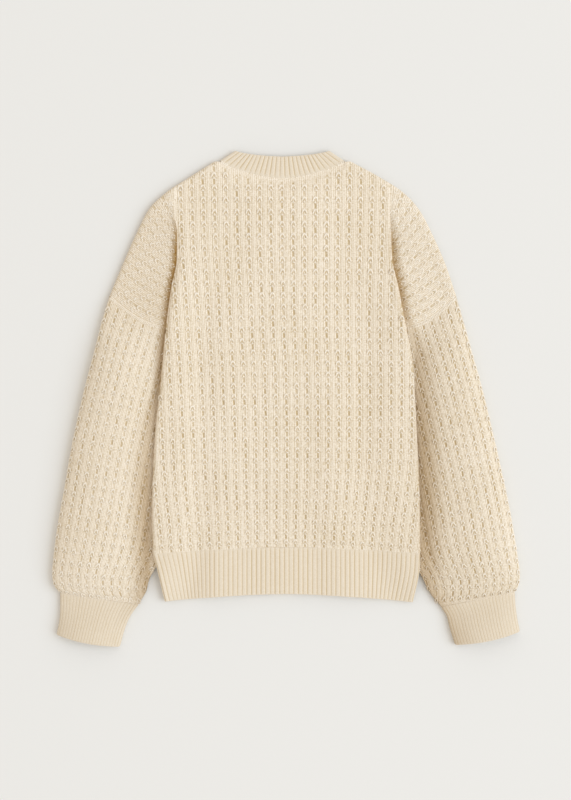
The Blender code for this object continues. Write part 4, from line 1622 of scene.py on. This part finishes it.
def cuff(side):
    """A cuff's closed tube, whose ribs run along it."""
    lines, reached = CUFF_LINES[side]
    total = reached[-1]
    ribs = round((across_tube(lines, reached, 0, 0)[2] + 4) / CUFF_RIB)
    rib = np.append(np.arange(0, ribs * PER_RIB), -np.arange(ribs * PER_RIB, 0, -1)) / PER_RIB
    length = np.append(np.linspace(0, total - EDGE, 16), total - TO_EDGE)
    rib, length = np.meshgrid(rib, length)
    along = np.abs(rib) / ribs
    width, air = across_tube(lines, reached, length, 0)[2:]
    cloth = width + 2 * RIB_SPARE * CUFF_FOLD
    near, far = (around_fold(part * cloth, CUFF_FOLD) for part in (along, 1 - along))
    seen = np.where(along < 0.5, near, width - far)
    fold = 4.5 + 2.5 * (1 - ease(length / 14))
    rounding = quarter(along * width / fold) * quarter((1 - along) * width / fold)
    rounded_edge = RIB * 0.35 * (1 - quarter((total - length) / EDGE))
    skins = []
    for inset in (rounded_edge, CUFF_WALL):
        inside = inset + seen * (width - 2 * inset) / width
        share = inside / width
        x, y, _, _ = across_tube(lines, reached, length, share)
        opened = CUFF_PUFF * ease(length / total * 1.2) * np.maximum(np.sin(pi * inside / width), 0) ** 0.6
        half = RIB + SLIT / 2 + 0.4 * (1 - ease(length / 10)) + puffed(air, share) + opened
        reach = np.maximum(half - inset, SLIT / 2) * rounding
        z = np.where(rib >= 0, half + reach, np.maximum(half - reach, HEM_CLEARANCE * rounding))
        skins.append(np.stack([x, y, z], axis=-1))
    strength = 0.3 + 0.7 * ease(np.minimum(length, total - length) / 2)
    values = {"rib": rib, "stitch": length / STITCH, "strength": strength}
    return tube(f"cuff_rib_{side}", *skins, np.zeros(rib.shape, bool), **values)


cuffs = {}
for side in BOTH:
    cuffs[side] = cuff(side)
    run_tree(cuffs[side], RIB_RELIEF, material=RIB_WOOL, rib_height=0.0003, groove_tone=0.9)
    print(cuffs[side].name, len(cuffs[side].data.polygons), "faces")

# %% [markdown]
# ## Ribbed strips: the hem, the neckband and the front bands
#
# These are strips whose two faces both show ribs, so both faces are fine. Each is a slab between two grids of
# points with the same rows and columns.


# %% A closed slab between two grids
def slab(name, outer, inner, **values):
    """A closed slab between two grids of points, whose values are the same on both faces."""
    rows, columns = outer.shape[:2]
    ids = np.arange(rows * columns).reshape(rows, columns)
    other = ids + rows * columns
    faces = []
    for grid_ids in (ids, other[:, ::-1]):
        corners = (grid_ids[:-1, :-1], grid_ids[:-1, 1:], grid_ids[1:, 1:], grid_ids[1:, :-1])
        faces += list(zip(*(corner.ravel().tolist() for corner in corners)))
    around = np.concatenate([ids[0, :-1], ids[:-1, -1], ids[-1, :0:-1], ids[:0:-1, 0]]).tolist()
    beyond = np.concatenate([other[0, :-1], other[:-1, -1], other[-1, :0:-1], other[:0:-1, 0]]).tolist()
    for i in range(len(around)):
        faces.append((around[i - 1], around[i], beyond[i], beyond[i - 1]))
    points = np.concatenate([outer.reshape(-1, 3), inner.reshape(-1, 3)])
    values = {key: np.tile(value.ravel(), 2) for key, value in values.items()}
    return add_piece(name, points, faces, **values)


def rounded_end(length):
    """Places along a strip, closer together where its far edge rounds over."""
    return np.append(np.linspace(0, length - EDGE, max(2, int(length / 4))), length - TO_EDGE)


# %% The hem, whose ribs lean with its side folds
HEM_RIB = 6.3
HEM_LEAN = 85.0  # how far in from a side the ribs still lean


def hem(name, sides, from_x, to_x, faces_at):
    """A length of the hem. Its ribs run down, and its ends go round the side folds or are straight."""
    left = from_x - (FOLD * RIB_SPARE if "left" in sides else 0)
    right = to_x + (FOLD * RIB_SPARE if "right" in sides else 0)
    ribs = round((right - left) / HEM_RIB)
    rib = np.linspace(0, ribs, ribs * PER_RIB + 1)
    length = HEM_DEPTH - SEAM
    down, flat = np.meshgrid(rounded_end(length) / length, left + (right - left) * rib / ribs, indexing="ij")
    x = flat
    fold_distance = np.full(x.shape, FAR)
    for side, sign in (("left", 1), ("right", -1)):
        if side in sides:
            fold = through(column_of(HEM, side, "down"), down)
            seam_fold = through(column_of(HEM, side, "down"), 0 * down)
            fade = 1 - ease(np.abs(flat - seam_fold) / HEM_LEAN)
            x = x + (fold - seam_fold) * fade
            inside = around_fold(np.maximum((x - fold) * sign + FOLD * RIB_SPARE, 0), FOLD)
            x = np.where(inside < 20, fold + sign * inside, x)
            fold_distance = np.minimum(fold_distance, inside)
    seam_y = hem_seam_y(x) - JOIN / 2
    y = seam_y + (hem_edge_y(x) - seam_y) * down
    outer_z, inner_z = faces_at(x, y, fold_distance)
    rounding = 1 - 0.8 * (1 - quarter((1 - down) * length / EDGE))
    middle = (outer_z + inner_z) / 2
    skins = [np.stack([x, y, middle + (z - middle) * rounding], axis=-1) for z in (outer_z, inner_z)]
    strength = 0.25 + 0.75 * ease(np.minimum(down, 1 - down) * length / 2)
    values = {"rib": np.broadcast_to(rib, x.shape), "stitch": down * length / STITCH, "strength": strength}
    return slab(name, *skins, **values)


def hem_front_raised(x, y, fold):
    """The front hem's faces, its outer one held off the table by the height of its ribs."""
    outer, inner = hem_front_faces(x, y, fold)
    return np.maximum(outer, HEM_CLEARANCE), inner


hems = {
    "hem_back": hem("hem_rib_back", BOTH, LEFT_X, RIGHT_X, hem_back_faces),
    "hem_front_left": hem("hem_rib_front_left", ("left",), *FRONTS["left"], hem_front_raised),
    "hem_front_right": hem("hem_rib_front_right", ("right",), *FRONTS["right"], hem_front_raised),
}
for piece in hems.values():
    run_tree(piece, RIB_RELIEF, material=RIB_WOOL, rib_height=0.0007, groove_tone=1.6)
    print(piece.name, len(piece.data.polygons), "faces")

# %% The neckband's ribs, and the line that they follow
NECK_RIB = 6.2
HALF_TURN_LENGTH = 6.0  # how much length the half turn at a corner of the neck takes up


def neck_line():
    """Stations from one front end of the band to the other, spaced evenly along its middle: its two edges,
    how far it has turned over, and on which side of the neck they are."""
    half = table_lines(NECKBAND, 400)
    seam_x, free_x, free_y, turn = np.concatenate([half, half[-2::-1]]).T
    sign = np.append(np.ones(len(half)), -np.ones(len(half) - 1))
    to_back = ease((turn - 0.3) / 0.4)
    front_y = neck_seam_y(MIDDLE + seam_x, *FRONT_NECK)
    back_y = neck_seam_y(MIDDLE + seam_x, *BACK_NECK)
    seam = np.column_stack([MIDDLE + sign * seam_x, front_y * (1 - to_back) + back_y * to_back])
    free = np.column_stack([MIDDLE + sign * free_x, free_y])
    middle = seam * 0.6 + free * 0.4
    steps = np.hypot(np.hypot(*np.diff(middle, axis=0).T), np.diff(turn) * HALF_TURN_LENGTH)
    reached = np.append(0, np.cumsum(steps))
    ribs = round(reached[-1] / NECK_RIB)
    to = np.linspace(0, reached[-1], ribs * PER_RIB + 1)
    values = np.column_stack([seam, free, turn, sign])
    stations = np.column_stack([np.interp(to, reached, column) for column in values.T])
    return stations, ribs


# %% The neckband, one strip round the neck
def neckband():
    """The strip lies on the table in front and on itself behind. It turns over at the neck's corners."""
    stations, ribs = neck_line()
    seam, free, turn = stations[:, :2], stations[:, 2:4], stations[:, 4]
    sign = np.sign(stations[:, 5] + 1e-9)
    along = free - seam
    width = np.hypot(*along.T)
    along = along / width[:, None]
    outward = np.column_stack([along[:, 1], -along[:, 0]]) * sign[:, None]
    outward[:, 1] = np.abs(outward[:, 1])
    low, high = RIB / 2, RIB / 2 + RIB + 0.5
    spread = (high - low) / 2
    middle = low + spread * (1 - np.cos(pi * turn))
    middle = middle + climb(seam[:, 0], seam[:, 1], RIB + SEAM) * ((sign < 0) & (turn < 0.5))
    share = (rounded_end(NECKBAND_DEPTH) / NECKBAND_DEPTH)[:, None]
    rounding = 1 - 0.7 * (1 - quarter((1 - share) * NECKBAND_DEPTH / EDGE))
    skins = []
    for face in (1, -1):
        half = face * RIB / 2 * rounding
        base = seam[None] + (JOIN + share[..., None] * (width[None, :, None] - JOIN)) * along[None]
        out = outward[None] * (np.sin(pi * turn)[None] * (spread + half))[..., None]
        z = np.maximum(middle[None] - half * np.cos(pi * turn)[None], RIB_CLEARANCE)
        skins.append(np.concatenate([base + out, z[..., None]], axis=-1))
    station = np.arange(len(turn))
    from_ends = np.minimum(station, station[::-1]) / PER_RIB
    down = share * NECKBAND_DEPTH
    strength = (ease((NECKBAND_DEPTH - down) / 2) * 0.75 + 0.25) * ease((down - 1.5) / 4)
    strength = strength * ease(from_ends / 0.6)[None]
    rib = np.broadcast_to(station * ribs / station[-1], strength.shape)
    stitch = np.broadcast_to(down / STITCH, strength.shape)
    return slab("neckband_rib", *skins, rib=rib, stitch=stitch, strength=strength)


neck = neckband()
run_tree(neck, RIB_RELIEF, material=RIB_WOOL, rib_height=0.0008, groove_tone=1.7)
print(neck.name, len(neck.data.polygons), "faces")

# %% [markdown]
# The front bands run from the neckband to the hem. The buttonhole band lies on the table with the buttons
# pressed into it, so its lower face has a shallow dent round each of them.

# %% The front bands
BAND_RIB = 5.0
FIRST_BUTTON_Y = 248.0
BUTTON_PITCH = 95.0
BUTTONS = [np.array([MIDDLE, FIRST_BUTTON_Y - BUTTON_PITCH * i]) for i in range(6)]
BUTTON_RADIUS = 9.0
BUTTON_HIGH = 2.2
DENT_GAP = 0.3  # how much larger a dent is than its button, all round


def front_band(name, bottom, dented):
    """One of the bands down the front, with a dent for each button in the band that they lie in."""
    ribs = round(2 * BAND_HALF / BAND_RIB)
    rib = np.linspace(0, ribs, ribs * PER_RIB + 1)
    low_y, high_y = float(hem_edge_y(MIDDLE)), BAND_TOP_Y
    down = rounded_end(high_y - low_y)
    y, x = np.meshgrid(high_y - down, MIDDLE + BAND_HALF * (rib / ribs * 2 - 1), indexing="ij")
    across = np.minimum(x - x.min(), x.max() - x)
    rounding = quarter(np.minimum(across, y - low_y + 0.1) / EDGE) * 0.75 + 0.25
    middle = bottom + RIB / 2
    lower, upper = (middle + face * RIB / 2 * rounding for face in (-1, 1))
    strength = 0.25 + 0.75 * ease(np.minimum(y - low_y, high_y - y) / 2)
    if dented:
        nearest = np.min([np.hypot(x - place[0], y - place[1]) for place in BUTTONS], axis=0)
        dent = (BUTTON_HIGH + DENT_GAP) * (1 - ease((nearest - BUTTON_RADIUS - DENT_GAP) / 2.5))
        lower = np.maximum(lower, dent)
        strength = strength * (0.2 + 0.8 * ease((nearest - BUTTON_RADIUS - 1) / 3))
    skins = [np.stack([x, y, np.maximum(z, RIB_CLEARANCE)], axis=-1) for z in (lower, upper)]
    rib = np.broadcast_to(rib, x.shape) + 0.5
    return slab(name, *skins, rib=rib, stitch=y / STITCH, strength=strength)


bands = {
    "buttonhole_band": front_band("band_rib_buttonholes", 0.0, True),
    "button_band": front_band("band_rib_buttons", RIB + SEAM, False),
}
for piece in bands.values():
    run_tree(piece, RIB_RELIEF, material=RIB_WOOL, rib_height=0.0008)
    print(piece.name, len(piece.data.polygons), "faces")

# %% [markdown]
# ## Linked seams
#
# The sleeves are linked on, stitch by stitch. Each link is a short strand that crosses the seam, so the same
# tree that set the loops sets the links, on points spaced evenly along it. The hem, the cuffs and most of the
# neckband need none, because their ribs are knitted straight on. A few close the corners of the neck.

# %% One link, and the seams as lines of points
LINK_PATH = [(-0.7, -2.6, -1.3), (-0.5, -1.3, -0.5), (0, 0, -0.2), (0.5, 1.3, -0.5), (0.7, 2.6, -1.3)]
LINK = strand("link", LINK_PATH, radius=1.1, around=5)
LINK_PITCH = 2.3


def seam_line(x, y, height_at):
    """Points along a seam, a link apart, at the height of the cloth there."""
    xy = evenly(np.column_stack([x, y]), LINK_PITCH)
    return np.column_stack([xy, height_at(*xy.T)])


def back_top(x, y):
    """The height of the back's outer face, where links on it lie."""
    return back_faces(x, y)[0]


def front_bottom(x, y):
    """The height of the fronts' outer face, at least the clearance that its relief has."""
    return np.maximum(front_outer(x, y)[0], FLOOR_CLEARANCE)


top_seams, under_seams = [], []
for side, sign in (("left", -1), ("right", 1)):
    hole = armhole(side, np.linspace(-0.03, 0.97, 60))
    top_seams.append(seam_line(*hole.T, back_top))
    under_seams.append(seam_line(*hole.T, front_bottom))
    corner = MIDDLE + sign * np.linspace(75, 82, 9)
    top_seams.append(seam_line(corner, back_top_y(corner), back_top))


def links(name, lines, facing_up, seed):
    """A link on each point of the lines, across them."""
    points = np.concatenate(lines)
    across = np.concatenate([np.gradient(line, axis=0) for line in lines])
    along = np.cross((0, 0, 1.0), across)
    piece = stitch_points(name, points, across, along, facing_up)
    run_tree(piece, SET_STITCHES, stitch=LINK, seed=seed, material=YARN)
    print(name, len(points), "links")
    return piece


seam_links = {
    "top": links("seam_links_top", top_seams, facing_up=1, seed=71),
    "under": links("seam_links_under", under_seams, facing_up=-1, seed=72),
}

# %% [markdown]
# ## Buttons
#
# The buttons are of a resin that looks like horn: a raised rim round a dish with four holes, sewn on with the
# same wool. The profile of half a button is turned round its axis, and a Boolean drills the holes.


# %% A solid turned on a lathe
def lathe(name, profile, place, around=32):
    """A solid of revolution from (radius, height) points, both ends on the axis."""
    shape = bmesh.new()
    rings = []
    for radius, height in profile:
        angles = [tau * k / around for k in range(around if radius else 1)]
        ring = [(radius * MM * cos(a), radius * MM * sin(a), height * MM) for a in angles]
        rings.append([shape.verts.new(point) for point in ring])
    for first, second in zip(rings, rings[1:]):
        for k in range(around):
            n = (k + 1) % around
            corners = [ring[i % len(ring)] for ring, i in ((first, k), (first, n), (second, n), (second, k))]
            shape.faces.new(list(dict.fromkeys(corners)))
    bmesh.ops.recalc_face_normals(shape, faces=shape.faces)
    made = from_bmesh(name, shape)
    made.data.transform(Matrix.Translation((*((place + SHIFT) * MM), 0)))
    return made


# %% A button, face down
BUTTON_PROFILE = [
    (0, 0.95), (4.6, 0.95), (5.6, 0.75), (6.4, 0.35), (7.2, 0.2), (8.1, 0.24), (8.7, 0.5),
    (BUTTON_RADIUS, 1.1), (8.8, 1.7), (8.2, 2.1), (7.0, BUTTON_HIGH), (0, BUTTON_HIGH),
]
HOLE_RING = 1.9
HOLE_RADIUS = 0.9
DRILL_PROFILE = [(0, -1.0), (HOLE_RADIUS, -1.0), (HOLE_RADIUS, 4.0), (0, 4.0)]
RIM_ANGLE = radians(40)  # an edge of a button sharper than this stays crisp


def button(name, place):
    """A button with its four holes, its dish towards the table."""
    made = lathe(name, BUTTON_PROFILE, place)
    drills = []
    for k in range(4):
        angle = pi * (k + 0.5) / 2
        hole = place + HOLE_RING * np.array([cos(angle), sin(angle)])
        drills.append(lathe("drill", DRILL_PROFILE, hole, around=12))
    for drill in drills:
        cut = made.modifiers.new("hole", "BOOLEAN")
        cut.operation, cut.solver, cut.object = "DIFFERENCE", "EXACT", drill
    apply_modifiers(made)
    for drill in drills:
        bpy.data.objects.remove(drill)
    made.data.shade_smooth()
    made.data.set_sharp_from_angle(angle=RIM_ANGLE)
    return made


# %% The button's material, a satin resin with the fine grain of horn
RESIN_SURFACE = {"Roughness": 0.32, "Coat Weight": 0.3, "Coat Roughness": 0.2}
GRAIN_STRETCH = (900, 160, 300)


def horn_like(name, light, dark):
    """A satin resin with streaks of two tones, stretched along the grain."""
    paint, tree, shader = new_material(name, RESIN_SURFACE)
    place = tree.nodes.new("ShaderNodeTexCoord").outputs["Object"]
    stretch = add_node(tree, "ShaderNodeMapping", {"Vector": place, "Scale": GRAIN_STRETCH})
    grain = {"Vector": stretch.outputs["Vector"], "Scale": 1, "Detail": 4}
    streaks = add_node(tree, "ShaderNodeTexNoise", grain).outputs["Fac"]
    give(shader.inputs["Base Color"], mixed(tree, streaks, (*light, 1), (*dark, 1)))
    return paint


RESIN = horn_like("horn-like resin", light=(0.62, 0.48, 0.32), dark=(0.42, 0.29, 0.17))

# %% Six buttons, each with two bars of thread
THREAD_PATH = [(-1.9, 0, -0.5), (-1.3, 0, 0.3), (0, 0, 0.5), (1.3, 0, 0.3), (1.9, 0, -0.5)]
THREAD = strand("thread", THREAD_PATH, radius=0.42, around=6)
DISH = 0.85  # the height of the bars, on the dish of a button
buttons, threads = {}, {}
for number, place in enumerate(BUTTONS, 1):
    buttons[number] = button(f"resin_button_{number}", place)
    buttons[number].data.materials.append(RESIN)
    bars = np.array([[*(place + (0, offset * HOLE_RING / 2**0.5)), DISH] for offset in (-1, 1)])
    across, along = np.tile([1.0, 0, 0], (2, 1)), np.tile([0, 1.0, 0], (2, 1))
    threads[number] = stitch_points(f"button_thread_{number}", bars, across, along, -1, wide=0.7)
    run_tree(threads[number], SET_STITCHES, stitch=THREAD, seed=number, material=YARN)
print("buttons:", len(buttons), "with", len(buttons[1].data.polygons), "faces each")

# %% [markdown]
# ## Putting the pieces on the body
#
# Every piece rides on the garment's one body. A piece that stands for a CAD node hides that node.

# %% Pieces and the CAD nodes that they hide
for shape in (LOOP, PLAIN_LOOP, LINK, THREAD):
    bpy.data.objects.remove(shape)


def dress(piece, slot, *nodes):
    """Puts a piece on the garment's body and hides the CAD nodes that it stands for. Its slot is not used."""
    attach(piece, "root")
    if nodes:
        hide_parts(*nodes)


dress(back, "knit", "back")
dress(back_loops, "knit")
for side in BOTH:
    dress(fronts[side], "knit", f"front_{side}")
    dress(front_loops[side], "knit")
    dress(sleeves[side], "knit", f"sleeve_{side}")
    dress(sleeve_loops[side, "over"], "knit")
    dress(sleeve_loops[side, "under"], "knit")
    dress(cuffs[side], "rib", f"cuff_{side}")
for node, piece in (hems | bands | {"neckband": neck}).items():
    dress(piece, "rib", node)
for piece in seam_links.values():
    dress(piece, "knit")
for number, piece in buttons.items():
    dress(piece, "button", f"button_{number}")
    dress(threads[number], "knit")

# %% The cloth's flat sizes, in metres, are not given: these loops do nothing
for side in BOTH:
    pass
for side in BOTH:
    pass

# %% [markdown]
# ## The studio
#
# The camera looks straight down. A broad soft light from the wearer's right gives the stitches their shape
# and throws a soft shadow to the left, and the pale room fills the rest.

# %% Camera
CAMERA_HEIGHT = 2.55  # metres
camera = new_object("camera", bpy.data.cameras.new("camera"))
camera.location = (-0.0007, -0.0017, CAMERA_HEIGHT)
camera.data.sensor_fit = "VERTICAL"
camera.data.sensor_height = 36
camera.data.lens = 85
bpy.context.scene.camera = camera

# %% Floor
FLOOR_HALF = 4.0  # metres
floor_mesh = bpy.data.meshes.new("floor")
corners = [(-1, -1), (1, -1), (1, 1), (-1, 1)]
floor_mesh.from_pydata([(x * FLOOR_HALF, y * FLOOR_HALF, 0) for x, y in corners], [], [(0, 1, 2, 3)])
PAPER_SURFACE = {"Base Color": (0.82, 0.82, 0.80, 1), "Roughness": 0.9, "Specular IOR Level": 0.1}
floor_mesh.materials.append(new_material("paper", PAPER_SURFACE)[0])
floor = new_object("floor", floor_mesh)


# %% Light
def area_light(name, place, size, watts, colour):
    """A square lamp that faces the middle of the floor."""
    light = new_object(name, bpy.data.lights.new(name, "AREA"))
    light.data.energy = watts
    light.data.size = size
    light.data.color = colour
    light.location = place
    light.rotation_euler = Vector(place).to_track_quat("Z", "Y").to_euler()


area_light("key", place=(10.3, -1.0, 9.4), size=11.2, watts=1060, colour=(0.78, 0.88, 1.0))
room = bpy.data.worlds.new("room")
room.use_nodes = True
for label, value in {"Color": (1, 0.94, 0.87, 1), "Strength": 0.79}.items():
    give(room.node_tree.nodes["Background"].inputs[label], value)
bpy.context.scene.world = room
bpy.context.scene.view_settings.view_transform = "Standard"
